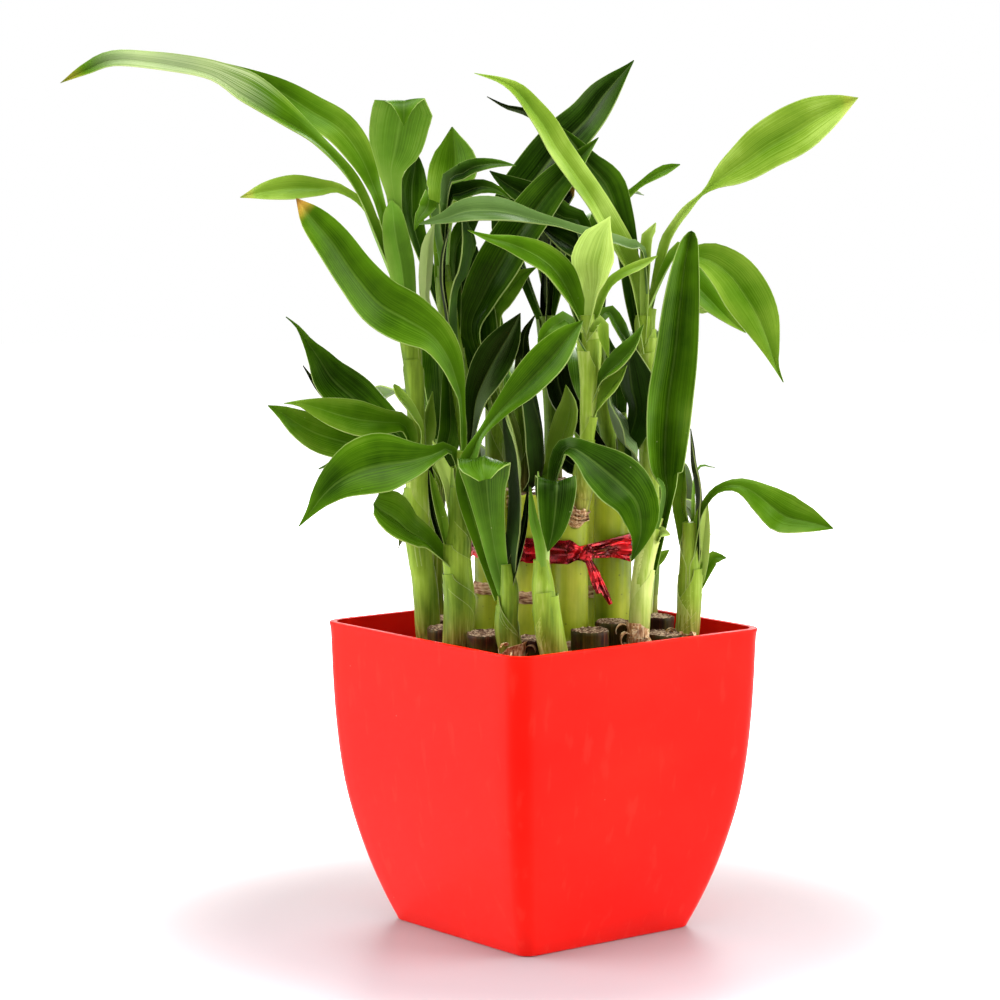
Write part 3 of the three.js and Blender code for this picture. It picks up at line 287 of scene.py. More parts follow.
# Small scattered specks
specks, given, result = newGroup("specks", [
    ("Vector", vectorKind, None), ("Scale", floatKind, 500.0), ("Size", floatKind, 0.2),
    ("Share", floatKind, 0.3)], [("Mask", floatKind)])
cells = addNode(specks, "ShaderNodeTexVoronoi", {"Vector": given["Vector"], "Scale": given["Scale"]})
chance = addNode(specks, "ShaderNodeSeparateColor", {0: cells.outputs["Color"]}).outputs[0]
chosen = maths(specks, "LESS_THAN", chance, given["Share"])
inside = span(specks, cells.outputs["Distance"], given["Size"], 0.0)
specks.links.new(maths(specks, "MULTIPLY", inside, chosen), result["Mask"])

# Parallel veins, midrib and pale margin of a blade, from its own map
leafLines, given, result = newGroup("leafLines", [
    ("Across", floatKind, 0.5), ("Wobble", floatKind, 0.0), ("Veins", floatKind, 18.0),
    ("Margin", floatKind, 0.04)], [("Vein", floatKind), ("Midrib", floatKind), ("Edge", floatKind)])
fromMiddle = maths(leafLines, "ABSOLUTE", maths(leafLines, "SUBTRACT", given["Across"], 0.5))
sideways = maths(leafLines, "MULTIPLY", fromMiddle, 2.0)
shifted = maths(leafLines, "MULTIPLY_ADD", given["Wobble"], 0.02, sideways)
wave = maths(leafLines, "SINE", maths(leafLines, "MULTIPLY", shifted, given["Veins"]))
leafLines.links.new(maths(leafLines, "MULTIPLY_ADD", wave, 0.5, 0.5), result["Vein"])
leafLines.links.new(span(leafLines, sideways, 0.09, 0.0), result["Midrib"])
edgeStart = maths(leafLines, "SUBTRACT", 1.0, given["Margin"])
leafLines.links.new(span(leafLines, sideways, edgeStart, 1.0), result["Edge"])


def clouds(tree, place, scale, contrast, stretch=(1, 1, 1)):
    inputs = {"Vector": place, "Stretch": stretch, "Scale": scale, "Contrast": contrast}
    return useGroup(tree, mottle, inputs)["Value"]


def dotsOn(tree, place, scale, size, share):
    return useGroup(tree, specks, {"Vector": place, "Scale": scale, "Size": size, "Share": share})["Mask"]


# A base, changed by how far a value lies off its middle
def sway(tree, value, amount, base):
    return maths(tree, "MULTIPLY_ADD", maths(tree, "SUBTRACT", value, 0.5), amount, base)


# A colour laid over another where a mask is, by at most the given share
def layOver(tree, mask, cover, colour, code):
    return blend(tree, maths(tree, "MULTIPLY", mask, cover), colour, paint(code))


# Materials of the plant
bladeLook = {
    "greens": [(0.0, "030800"), (0.14, "0e2002"), (0.28, "213d04"), (0.5, "446a0a"), (0.75, "718f2a"),
               (1.0, "acc560")],
    "underGreens": [(0.0, "091403"), (0.25, "223d0b"), (0.5, "4f771c"), (0.75, "7b9b40"), (1.0, "afc67a")],
    # The greyish ramp paints a sheen that the glossy blade reflects
    "greys": [(0.0, "1b2c10"), (0.5, "4b6630"), (1.0, "8fa574")],
    # The pale colour laid along one blade is a painted highlight
    "margin": "b5c777", "midrib": "a9c766", "highlightStripe": "dfe6bd", "speck": "c9cf9a",
    "tip": [(0.0, "d0a040"), (1.0, "6a4420")],
    "tint": (0.5, 0.85, 0.14, 1.0), "roughness": 0.26, "underRoughness": 0.5,
    "veins": 60.0, "veinDepth": 0.2, "underVeinDepth": 0.25, "midribDepth": -0.8, "streakDepth": 0.45,
    "streaksAcross": 34.0,
    # How much each of these changes the tone; the light toward the edges is a painted rim light
    "cloudShade": 0.34, "streakShade": 0.22, "veinShade": 0.024,
    "footLight": 0.2, "paintedRimLight": 0.13, "darker": 0.05,
    # How fully each colour covers the green
    "highlightCover": 0.6, "midribCover": 0.07, "marginCover": 0.42, "speckCover": 0.35,
    # Breadths between which streaks and veins come up
    "streakBreadths": (0.45, 1.1), "veinBreadths": (0.4, 1.0),
    # Shares of the length: where the pale foot ends, where the painted pale highlight band comes and goes,
    # and where a dry tip starts and is full
    "footEnd": 0.16, "highlightComes": (0.5, 0.68), "highlightGoes": (0.95, 0.82),
    "dryComes": (0.935, 0.99), "dryTurns": (0.955, 1.005), "dryRagged": 0.04,
}


def bladeMaterial(name, greens, veinDepth, roughness):
    look = bladeLook
    material, tree, shader = newMaterial(name, Roughness=roughness, Specular_IOR_Level=0.17,
                                         Specular_Tint=look["tint"])
    place = objectPlace(tree)
    ways = sheetWays(tree)
    tone, age, grey, highlightStripe = growthOf(tree)
    breadth = addNode(tree, "ShaderNodeAttribute", attribute_name="breadth").outputs["Fac"]
    cloud = clouds(tree, place, 48.0, 1.8)
    lines = useGroup(tree, leafLines, {"Across": ways[0], "Wobble": cloud, "Veins": look["veins"]})
    acrossStreaks = maths(tree, "MULTIPLY", ways[0], look["streaksAcross"])
    along = addNode(tree, "ShaderNodeCombineXYZ", {0: acrossStreaks, 1: ways[1], 2: tone}).outputs[0]
    fading = span(tree, breadth, *look["streakBreadths"])
    streaks = sway(tree, clouds(tree, along, 1.6, 1.7), fading, 0.5)

    # Tone of the blade, whose fitted value also paints the shade on it: paler at its foot, uneven and finely
    # veined, and brighter toward its margins by a painted rim light
    pale = span(tree, ways[1], look["footEnd"], 0.0, 0.0, look["footLight"])
    offMiddle = maths(tree, "ABSOLUTE", maths(tree, "SUBTRACT", ways[0], 0.5))
    sideways = maths(tree, "MULTIPLY", offMiddle, 2.0)
    paintedRimLight = maths(tree, "MULTIPLY", maths(tree, "POWER", sideways, 2.0), look["paintedRimLight"])
    lit = maths(tree, "ADD", sway(tree, cloud, look["cloudShade"], tone), pale)
    lit = maths(tree, "ADD", sway(tree, streaks, look["streakShade"], lit), paintedRimLight)
    lit = maths(tree, "SUBTRACT", lit, look["darker"])
    veined = maths(tree, "SUBTRACT", lines["Vein"], 0.5)
    veined = maths(tree, "MULTIPLY", veined, span(tree, breadth, *look["veinBreadths"]))
    lit = maths(tree, "MULTIPLY_ADD", veined, look["veinShade"], lit)

    colour = ramp(tree, lit, greens)
    # Painted greyish sheen, reflected off the glossy blade, where the blade carries it
    colour = blend(tree, grey, colour, ramp(tree, lit, look["greys"]))
    # A painted pale highlight band along part of the blade's length
    highlightMask = maths(tree, "MULTIPLY", span(tree, ways[1], *look["highlightComes"]),
                    span(tree, ways[1], *look["highlightGoes"]))
    highlightMask = maths(tree, "MULTIPLY", highlightMask, maths(tree, "MULTIPLY", highlightStripe, span(tree, streaks, 0.3, 0.7)))
    colour = layOver(tree, highlightMask, look["highlightCover"], colour, look["highlightStripe"])
    colour = layOver(tree, lines["Midrib"], look["midribCover"], colour, look["midrib"])
    colour = layOver(tree, lines["Edge"], look["marginCover"], colour, look["margin"])
    colour = layOver(tree, dotsOn(tree, place, 420.0, 0.14, 0.03), look["speckCover"], colour, look["speck"])
    ragged = sway(tree, cloud, look["dryRagged"], ways[1])
    dry = maths(tree, "MULTIPLY", span(tree, ragged, *look["dryComes"]), age)
    colour = blend(tree, dry, colour, ramp(tree, span(tree, ragged, *look["dryTurns"]), look["tip"]))

    rough = span(tree, streaks, 0.1, 0.9, roughness - 0.08, roughness + 0.1)
    height = maths(tree, "MULTIPLY", streaks, look["streakDepth"])
    height = maths(tree, "MULTIPLY_ADD", lines["Vein"], veinDepth, height)
    height = maths(tree, "MULTIPLY_ADD", lines["Midrib"], look["midribDepth"], height)
    finishShader(tree, shader, colour, rough, maths(tree, "MULTIPLY", height, fading), 0.35, 0.1)
    return material


leafBlade = bladeMaterial("leafBlade", bladeLook["greens"], bladeLook["veinDepth"], bladeLook["roughness"])
leafUnder = bladeMaterial("leafUnder", bladeLook["underGreens"], bladeLook["underVeinDepth"],
                          bladeLook["underRoughness"])

stemLook = {
    "greens": [(0.0, "25380a"), (0.35, "4f6a12"), (0.65, "839e30"), (1.0, "c2cf78")],
    "foot": [(0.2, "452a14"), (0.5, "7e5f2c"), (0.8, "b8a565")], "margin": "c9d08c",
}
leafStem, tree, shader = newMaterial("leafStem", Roughness=0.42, Specular_IOR_Level=0.2,
                                     Specular_Tint=(0.8, 0.9, 0.5, 1.0))
place = objectPlace(tree)
ways = sheetWays(tree)
tone, age = growthOf(tree)[:2]
fibres = clouds(tree, place, 1100.0, 1.5, (1, 1, 0.05))
cloud = clouds(tree, place, 130.0, 1.6, (1, 1, 0.4))
# The stem's tone, lower for the shoots inside the plant, paints the shade there
lit = sway(tree, cloud, 0.55, tone)
lit = sway(tree, fibres, 0.26, lit)
colour = ramp(tree, lit, stemLook["greens"])
lines = useGroup(tree, leafLines, {"Across": ways[0], "Wobble": cloud, "Margin": 0.05})
colour = layOver(tree, lines["Edge"], 0.3, colour, stemLook["margin"])
footDry = maths(tree, "MULTIPLY", age, span(tree, cloud, 0.2, 0.75, 0.35, 1.0))
colour = blend(tree, footDry, colour, ramp(tree, fibres, stemLook["foot"]))
rough = span(tree, fibres, 0.0, 1.0, 0.34, 0.52)
finishShader(tree, shader, colour, rough, fibres, 0.5, 0.15)

dryHusk, tree, shader = newMaterial("dryHusk", Roughness=0.75)
place = objectPlace(tree)
fibres = clouds(tree, place, 1400.0, 2.0, (1, 1, 0.08))
cloud = clouds(tree, place, 260.0, 2.0)
colour = ramp(tree, fibres, [(0.1, "6e4020"), (0.45, "b88a58"), (0.75, "e2cda2")])
colour = blend(tree, span(tree, cloud, 0.45, 0.9, 0.0, 0.7), colour, paint("5c2c1a"))
finishShader(tree, shader, colour, None, fibres, 0.7, 0.2)

# Canes: smooth green skin, olive skin of the short ones, ring scars and cut ends
caneSkin, tree, shader = newMaterial("caneSkin", Roughness=0.36, Specular_IOR_Level=0.3)
place = objectPlace(tree)
fibres = clouds(tree, place, 800.0, 1.4, (1, 1, 0.03))
cloud = clouds(tree, place, 70.0, 2.2, (1, 1, 0.5))
lit = sway(tree, fibres, 0.35, cloud)
colour = ramp(tree, lit, [(0.0, "6f8414"), (0.45, "9fae24"), (0.8, "c2cb3a"), (1.0, "d3d85c")])
dots = dotsOn(tree, place, 480.0, 0.24, 0.14)
colour = layOver(tree, dots, 0.75, colour, "38421a")
streak = dotsOn(tree, place, 160.0, 0.22, 0.1)
colour = layOver(tree, streak, 0.35, colour, "5f5a26")
rough = span(tree, cloud, 0.0, 1.0, 0.28, 0.44)
finishShader(tree, shader, colour, rough, fibres, 0.3, 0.12)

shortSkin, tree, shader = newMaterial("shortSkin", Roughness=0.5, Specular_IOR_Level=0.14)
place = objectPlace(tree)
fibres = clouds(tree, place, 900.0, 1.6, (1, 1, 0.04))
cloud = clouds(tree, place, 95.0, 2.6, (1, 1, 0.6))
lit = sway(tree, fibres, 0.4, cloud)
colour = ramp(tree, lit, [(0.0, "241a05"), (0.4, "41470c"), (0.7, "606b12"), (1.0, "7f8024")])
height = addNode(tree, "ShaderNodeSeparateXYZ", {0: place}).outputs[2]
browned = maths(tree, "MULTIPLY", span(tree, height, 0.092, 0.102), span(tree, cloud, 0.2, 0.65, 0.4, 1.0))
colour = blend(tree, browned, colour, ramp(tree, fibres, [(0.2, "1c0804"), (0.6, "3a190b"), (0.9, "603518")]))
dots = dotsOn(tree, place, 420.0, 0.26, 0.2)
colour = layOver(tree, dots, 0.7, colour, "2a1f0c")
finishShader(tree, shader, colour, span(tree, cloud, 0.0, 1.0, 0.42, 0.62), fibres, 0.28, 0.2)

scarBark, tree, shader = newMaterial("scarBark", Roughness=0.85)
place = objectPlace(tree)
rings = clouds(tree, place, 1500.0, 2.2, (0.25, 0.25, 1))
cloud = clouds(tree, place, 420.0, 2.0)
colour = ramp(tree, rings, [(0.15, "6a3f28"), (0.45, "b3875f"), (0.8, "ddbd97")])
colour = blend(tree, span(tree, cloud, 0.55, 0.9, 0.0, 0.6), colour, paint("7d4b39"))
finishShader(tree, shader, colour, None, rings, 0.8, 0.35)

cutWood, tree, shader = newMaterial("cutWood", Roughness=0.95)
place = objectPlace(tree)
pith = addNode(tree, "ShaderNodeTexVoronoi", {"Vector": place, "Scale": 1500.0}, feature="F1")
cloud = clouds(tree, place, 520.0, 2.4)
grit = maths(tree, "MULTIPLY_ADD", pith.outputs["Distance"], 0.7, maths(tree, "MULTIPLY", cloud, 0.5))
colour = ramp(tree, grit, [(0.2, "230f08"), (0.45, "4f301f"), (0.62, "7f5d42"), (0.85, "c4ab8c")])
finishShader(tree, shader, colour, None, grit, 0.9, 0.5)

print("materials of the plant are ready")


# Pot: one moulded shell, drawn up ring by ring from its foot, over the lip and down the inside
potShape = {
    "rimSide": 106, "height": 102, "wall": 1.6, "floor": 3.1, "footShare": 0.685,
    "cornerRadius": 7, "cornerSteps": 8, "sideCuts": 15, "rings": 34,
    "curve": [(0.012, 0.685), (0.03, 0.7), (0.16, 0.79), (0.3, 0.866), (0.43, 0.92), (0.55, 0.951),
              (0.7, 0.974), (0.84, 0.986), (0.95, 0.992), (0.972, 0.994)],
}


def wallHalf(z):
    points = potShape["curve"]
    share = min(max(z / potShape["height"], points[0][0]), points[-1][0])
    i = max(k for k in range(len(points) - 1) if points[k][0] <= share)
    slopes = [(b[1] - a[1]) / (b[0] - a[0]) for a, b in zip(points, points[1:])]
    (x0, y0), (x1, y1) = points[i], points[i + 1]
    before, after = slopes[max(i - 1, 0)], slopes[min(i + 1, len(slopes) - 1)]
    m0, m1 = (before + slopes[i]) / 2, (slopes[i] + after) / 2
    t, run = (share - x0) / (x1 - x0), x1 - x0
    width = ((2 * t ** 3 - 3 * t * t + 1) * y0 + (t ** 3 - 2 * t * t + t) * run * m0
             + (3 * t * t - 2 * t ** 3) * y1 + (t ** 3 - t * t) * run * m1)
    return width * potShape["rimSide"] / 2


def squareLoop(name, half, radius, z):
    bpy.ops.object.select_all(action="DESELECT")
    bpy.ops.mesh.primitive_plane_add(size=2 * half * mm, location=(0, 0, z * mm))
    bpy.ops.object.transform_apply(location=True)
    piece = bpy.context.object
    piece.name = piece.data.name = name
    bpy.ops.object.mode_set(mode="EDIT")
    bpy.ops.mesh.select_all(action="SELECT")
    bpy.ops.mesh.bevel(offset=radius * mm, segments=potShape["cornerSteps"], affect="VERTICES")
    bpy.ops.mesh.select_all(action="SELECT")
    bpy.ops.mesh.delete(type="ONLY_FACE")
    bpy.ops.object.mode_set(mode="OBJECT")
    corners = piece.data.vertices
    for edge in piece.data.edges:
        edge.select = (corners[edge.vertices[0]].co - corners[edge.vertices[1]].co).length > 10 * mm
    bpy.ops.object.mode_set(mode="EDIT")
    bpy.ops.mesh.select_mode(type="EDGE")
    bpy.ops.mesh.subdivide(number_cuts=potShape["sideCuts"])
    bpy.ops.mesh.select_all(action="SELECT")
    return piece


def drawUp(levels):
    for (z0, half0), (z1, half1) in zip(levels, levels[1:]):
        bpy.ops.mesh.extrude_region_move(TRANSFORM_OT_translate={"value": (0, 0, (z1 - z0) * mm)})
        size = half1 / half0
        bpy.ops.transform.resize(value=(size, size, 1), center_override=(0, 0, z1 * mm))


def closeLoop():
    bpy.ops.mesh.edge_face_add()


def selectRim():
    bpy.ops.mesh.select_all(action="SELECT")
    bpy.ops.mesh.region_to_loop()


def finishShell():
    closeLoop()
    bpy.ops.mesh.select_all(action="SELECT")
    bpy.ops.mesh.normals_make_consistent(inside=False)
    bpy.ops.object.mode_set(mode="OBJECT")


def makePot():
    rim, height, wall = potShape["rimSide"] / 2, potShape["height"], potShape["wall"]
    foot = rim * potShape["footShare"]
    levels = [(0, foot - 1.1), (0.15, foot - 0.6), (0.5, foot - 0.22), (1.2, foot)]
    for i in range(1, potShape["rings"] + 1):
        z = 1.2 + (height * 0.972 - 1.2) * i / potShape["rings"]
        levels.append((z, wallHalf(z)))
    # The wall flares a little to its top edge, is rounded over it and thins to the inside
    levels += [(height * 0.98, rim * 0.9958), (height * 0.988, rim * 0.998), (height - 0.5, rim)]
    levels += [(height - 0.12, rim - 0.12), (height, rim - 0.45), (height, rim - wall)]
    levels.append((height - 0.15, rim - wall - 0.3))
    inside = [97, 90, 80, 72, 58, 44, 30, 17, 8, potShape["floor"] + 1.2]
    levels += [(z, wallHalf(z) - wall) for z in inside]
    levels.append((potShape["floor"], wallHalf(potShape["floor"]) - wall - 1.2))
    startRadius = potShape["cornerRadius"] * levels[0][1] / rim
    pot = squareLoop("pot_shell", levels[0][1], startRadius, 0)
    closeLoop()
    selectRim()
    drawUp(levels)
    finishShell()
    smooth(pot, 35)
    return pot


potPlastic, tree, shader = newMaterial("potPlastic", Roughness=0.42, Specular_IOR_Level=0.12,
                                       Specular_Tint=(1.0, 0.42, 0.34, 1.0))
place = objectPlace(tree)
cloud = clouds(tree, place, 13.0, 2.0, (1, 1, 1.6))
grain = clouds(tree, place, 2600.0, 1.2)
scuffs = clouds(tree, place, 240.0, 2.4, (1, 1, 0.3))
dust = dotsOn(tree, place, 160.0, 0.06, 0.04)
# Broad clouds of lighter and darker red, partly uneven moulding and partly painted soft reflections of the
# surroundings
colour = ramp(tree, cloud, [(0.1, "e00b04"), (0.45, "f41006"), (0.9, "ff1a0c")])
height = addNode(tree, "ShaderNodeSeparateXYZ", {0: place}).outputs[2]
# Painted shade: the red darkens toward the foot, where less light falls
colour = blend(tree, span(tree, height, 0.05, 0.0, 0.0, 0.6), colour, paint("a00a04"))  # deeper to the foot
colour = blend(tree, span(tree, scuffs, 0.7, 1.0, 0.0, 0.05), colour, paint("ff6a55"))
colour = layOver(tree, dust, 0.3, colour, "ffb0a0")
rough = span(tree, cloud, 0.1, 0.9, 0.36, 0.46)
finishShader(tree, shader, colour, rough, grain, 0.08, 0.04)

pot = makePot()
pot.data.materials.append(potPlastic)
standsFor(pot, ["pot"])
print("pot is ready")


# Canes: name, top centre, radius, foot centre and height of the ring scar
innerCanes = [
    ("cane_a", (-17.4, -3, 147), 5.4, (-17.4, -3), 115), ("cane_b", (-4, -18, 148), 5.4, (-4, -18), 114),
    ("cane_c", (8.7, -20, 150), 6.2, (8.7, -20), 98), ("cane_d", (23.5, -6, 149), 6.2, (23, -6), 90),
    ("cane_e", (20, 10, 147), 6, (19.5, 9.5), 112), ("cane_f", (5, 18, 149), 6, (5, 17), 107),
    ("cane_g", (-11, 13, 146), 6, (-11, 12.5), 117),
]
outerCanes = [
    ("short_cane_1", (15, -33.5, 105), 6.2, (15, -32)), ("short_cane_2", (23.5, -21.5, 106), 6.2, (22, -19)),
    ("short_cane_3", (-19, -33, 104), 6.2, (-17, -28.5)), ("short_cane_4", (-4, -38, 103), 6, (-4, -33.5)),
    ("short_cane_5", (-32, -20, 104), 6.2, (-28.5, -17.5)),
    ("short_cane_6", (39.6, -20, 102), 6.2, (35.5, -17.5)),
    ("short_cane_7", (38, -2, 105), 6.2, (35.5, -2)), ("short_cane_8", (-36, -3, 104), 6.2, (-32.5, -3)),
    ("short_cane_9", (-30, 15, 103), 6.2, (-27, 14)), ("short_cane_10", (-13, 31, 105), 6.2, (-12, 27.5)),
    ("short_cane_11", (10, 35, 104), 6.2, (9.5, 31.5)), ("short_cane_12", (30, 23, 104), 6.2, (27, 21)),
]
caneShape = {"innerFoot": 14, "outerFoot": 26, "sides": 36, "unevenness": 0.16, "rimRagged": 0.35}


# An upright cane of a given length and radius; its levels are heights with a share of the radius
def drawCane(name, radius, levels):
    bpy.ops.object.select_all(action="DESELECT")
    bpy.ops.mesh.primitive_circle_add(vertices=caneShape["sides"], radius=radius * levels[0][1] * mm,
                                      fill_type="NGON", location=(0, 0, levels[0][0] * mm))
    bpy.ops.object.transform_apply(location=True)
    piece = bpy.context.object
    piece.name = piece.data.name = name
    bpy.ops.object.mode_set(mode="EDIT")
    selectRim()
    drawUp([(z, width * radius) for z, width in levels])
    finishShell()
    return piece


def caneLevels(length, scar):
    stops = [(0, 0.93), (0.8, 1)] + [(length * i / 9, 1) for i in range(1, 8)]
    if scar:
        stops = [(z, w) for z, w in stops if abs(z - scar) > 4.5]
        stops += [(scar - 4, 0.99), (scar - 2.6, 0.985), (scar - 2, 1.0), (scar - 1.6, 1.045)]
        stops += [(scar - 0.8, 1.06), (scar, 1.055), (scar + 0.9, 1.05), (scar + 1.5, 1.02)]
        stops += [(scar + 2, 0.975), (scar + 4, 0.985)]
    stops.sort()
    stops += [(length - 4, 1.0), (length - 2, 1.0), (length - 1, 1.01), (length - 0.4, 1.0), (length, 0.95)]
    # The cut face, in rings so that it can be rough
    stops += [(length - 0.1, 0.9), (length - 0.2, 0.8), (length - 0.25, 0.66), (length - 0.25, 0.5),
              (length - 0.2, 0.34), (length - 0.2, 0.17), (length - 0.2, 0.03)]
    return stops


def setCane(piece, name, top, radius, foot, footHeight, scar):
    low, high = Vector((foot[0], foot[1], footHeight)), Vector(top)
    length = (high - low).length
    lean = (high - low).normalized()
    side = (Vector((1, 0, 0)) - lean * lean.x).normalized()
    back = lean.cross(side)
    shift = sum(ord(letter) for letter in name) * 3.7
    for vertex in piece.data.vertices:
        spot = vertex.co / mm
        out = Vector((spot.x, spot.y, 0))
        wide = out.length
        near = noise.noise(Vector((spot.x * 0.12 + shift, spot.y * 0.12, spot.z * 0.06)))
        rim = noise.noise(Vector((spot.x * 0.9 + shift, spot.y * 0.9, spot.z * 0.5)))
        if wide > 0.9 * radius:
            spot += out.normalized() * near * caneShape["unevenness"] * 2
            if scar and abs(spot.z - scar) < 2.4:
                spot += out.normalized() * rim * 0.3 + Vector((0, 0, rim * 0.5))
        if spot.z > length - 0.7 and wide > 0.01 * radius:
            spot.z += rim * caneShape["rimRagged"] * (1.4 if wide > 0.7 * radius else 0.8)
        vertex.co = turned(low + side * spot.x + back * spot.y + lean * spot.z)


def paintCane(piece, skin, length, radius, scar):
    for material in (skin, cutWood, scarBark):
        piece.data.materials.append(material)
    for face in piece.data.polygons:
        middle = face.center / mm
        wide = Vector((middle.x, middle.y)).length
        if middle.z > length - 0.5 and wide < 0.94 * radius:
            face.material_index = 1
        elif scar and scar - 1.9 < middle.z < scar + 1.8:
            face.material_index = 2


for name, top, radius, foot, scarHeight in innerCanes:
    footHeight = caneShape["innerFoot"]
    length = (Vector(top) - Vector((*foot, footHeight))).length
    scar = scarHeight - footHeight
    cane = drawCane(name + "_stalk", radius, caneLevels(length, scar))
    paintCane(cane, caneSkin, length, radius, scar)
    setCane(cane, name, top, radius, foot, footHeight, scar)
    smooth(cane, 55)
    standsFor(cane, [name])

# The short canes are one cut stalk, copied and leaned to its place
shortLength, shortRadius = 78.0, 6.2
stretchFrom = 40  # height on the stalk above which it is lengthened or shortened
shortMaster = drawCane("short_master", shortRadius, caneLevels(shortLength, 0))
paintCane(shortMaster, shortSkin, shortLength, shortRadius, 0)
for name, top, radius, foot in outerCanes:
    footHeight = caneShape["outerFoot"]
    length = (Vector(top) - Vector((*foot, footHeight))).length
    cane = copyPiece(shortMaster, name + "_stalk")
    cane.data.transform(Matrix.Diagonal((radius / shortRadius, radius / shortRadius, 1, 1)))
    for vertex in cane.data.vertices:
        if vertex.co.z > stretchFrom * mm:
            vertex.co.z += (length - shortLength) * mm
    setCane(cane, name, top, radius, foot, footHeight, 0)
    smooth(cane, 55)
    standsFor(cane, [name])
bpy.data.objects.remove(shortMaster)
print("canes are ready")


# Filling: a dark bed that the canes stand in, and two layers of small pebbles strewn round them
pebbleLook = {
    "bedTop": 68.5, "lowLayer": 69.5, "highLayer": 71.6, "top": 72,
    "smallest": 2.6, "largest": 4.6, "tries": 2600, "bedGap": 2.1, "stoneGap": 1.9,
}

pebbleStone, tree, shader = newMaterial("pebbleStone", Roughness=0.7)
place = objectPlace(tree)
tone = growthOf(tree)[0]
cloud = clouds(tree, place, 330.0, 2.0)
lit = sway(tree, cloud, 0.35, tone)
colour = ramp(tree, lit, [(0.0, "4a443c"), (0.35, "857a6b"), (0.7, "b5aa98"), (1.0, "ded7ca")])
finishShader(tree, shader, colour, span(tree, cloud, 0.0, 1.0, 0.55, 0.85), cloud, 0.4, 0.3)

bedGrit, tree, shader = newMaterial("bedGrit", Roughness=0.95)
place = objectPlace(tree)
grit = addNode(tree, "ShaderNodeTexVoronoi", {"Vector": place, "Scale": 420.0}).outputs["Distance"]
finishShader(tree, shader, ramp(tree, grit, [(0.1, "6f665a"), (0.6, "2b2621")]), None, grit, 0.8, 1.2)


def caneSpots(z):
    spots = []
    for name, top, radius, foot, *others in innerCanes + outerCanes:
        low = caneShape["innerFoot"] if name.startswith("cane") else caneShape["outerFoot"]
        share = (z - low) / (top[2] - low)
        x = foot[0] + (top[0] - foot[0]) * share
        y = foot[1] + (top[1] - foot[1]) * share
        spots.append((turned((x, y, z)) / mm, radius))
    return spots


def makeFilling():
    rng = random.Random(7)
    footCorner = 4.5
    bedLevels = [(potShape["floor"] + 0.3, wallHalf(3.4) - footCorner)]
    bedLevels += [(z, wallHalf(z) - pebbleLook["bedGap"]) for z in (17, 44, pebbleLook["bedTop"])]
    bed = squareLoop("bed", bedLevels[0][1], footCorner, bedLevels[0][0])
    closeLoop()
    selectRim()
    drawUp(bedLevels)
    finishShell()
    bed.data.materials.append(bedGrit)
    setGrowth(bed, lambda index: (0.3, 0, 0))
    bpy.ops.object.select_all(action="DESELECT")
    bpy.ops.mesh.primitive_ico_sphere_add(subdivisions=2, radius=1)
    stone = bpy.context.object
    stone.data.materials.append(pebbleStone)
    spots = caneSpots(pebbleLook["top"])
    stones = [bed]
    for layer, level in enumerate((pebbleLook["lowLayer"], pebbleLook["highLayer"])):
        laid = []
        for attempt in range(pebbleLook["tries"]):
            size = rng.uniform(pebbleLook["smallest"], pebbleLook["largest"])
            edge = wallHalf(pebbleLook["top"]) - pebbleLook["stoneGap"] - size
            x, y = rng.uniform(-edge, edge), rng.uniform(-edge, edge)
            if any(math.hypot(x - a, y - b) < 0.82 * (size + other) for a, b, other in laid):
                continue
            if any(math.hypot(x - spot.x, y - spot.y) < radius + size * 0.92 for spot, radius in spots):
                continue
            laid.append((x, y, size))
            piece = copyPiece(stone, "stone")
            spin = Matrix.Rotation(rng.uniform(0, fullTurn), 4, "Z")
            spin = spin @ Matrix.Rotation(rng.uniform(-0.5, 0.5), 4, "X")
            shape = Matrix.Diagonal((size, size * rng.uniform(0.7, 0.95), size * rng.uniform(0.5, 0.75), 1))
            shift = rng.uniform(0, 90)
            for vertex in piece.data.vertices:
                lump = 1 + 0.16 * noise.noise(vertex.co * 1.1 + Vector((shift, 0, 0)))
                vertex.co = vertex.co * lump
            height = level + rng.uniform(-0.8, 0.8) - size * 0.4
            piece.data.transform(Matrix.Scale(mm, 4) @ Matrix.Translation((x, y, height)) @ spin @ shape)
            tone = rng.uniform(0.1, 0.95)
            setGrowth(piece, lambda index: (tone, 0, 0))
            stones.append(piece)
    bpy.data.objects.remove(stone)
    filling = joinPieces(stones, "pebbles_strewn")
    smooth(filling, 60)
    return filling


filling = makeFilling()
standsFor(filling, ["pebble_filling"])
print("filling is ready,", len(filling.data.polygons), "faces")


# Shoots: stems, sheaths, blades and dry husks. All are in millimetres from the viewer's side.
usualFold = 16


def blade(spine, roll=(0, 0), fold=usualFold, tone=0.35, tip=0.0, grey=0.0, highlightStripe=0.0):
    return {"spine": spine, "roll": roll, "fold": fold,
            "tone": tone, "tip": tip, "grey": grey, "highlightStripe": highlightStripe}


# Share of its width that a blade by rule has along its reach
archWidths = ((0, 0.25), (0.25, 0.85), (0.5, 1), (0.75, 0.7), (1, 0))


# A blade by rule: it rises from its foot and then droops along its reach
def arch(foot, azimuth, reach, rise, droop, width, roll=(0, 0), tone=0.35):
    a = math.radians(azimuth)
    spine = []
    for t, share in archWidths:
        out = reach * (0.35 * t + 0.65 * t * t)
        up = rise * t * (2 - t) - droop * t ** 3
        spine.append((foot[0] + out * math.cos(a), foot[1] + out * math.sin(a), foot[2] + up, share * width))
    return blade(spine, roll, usualFold, tone)
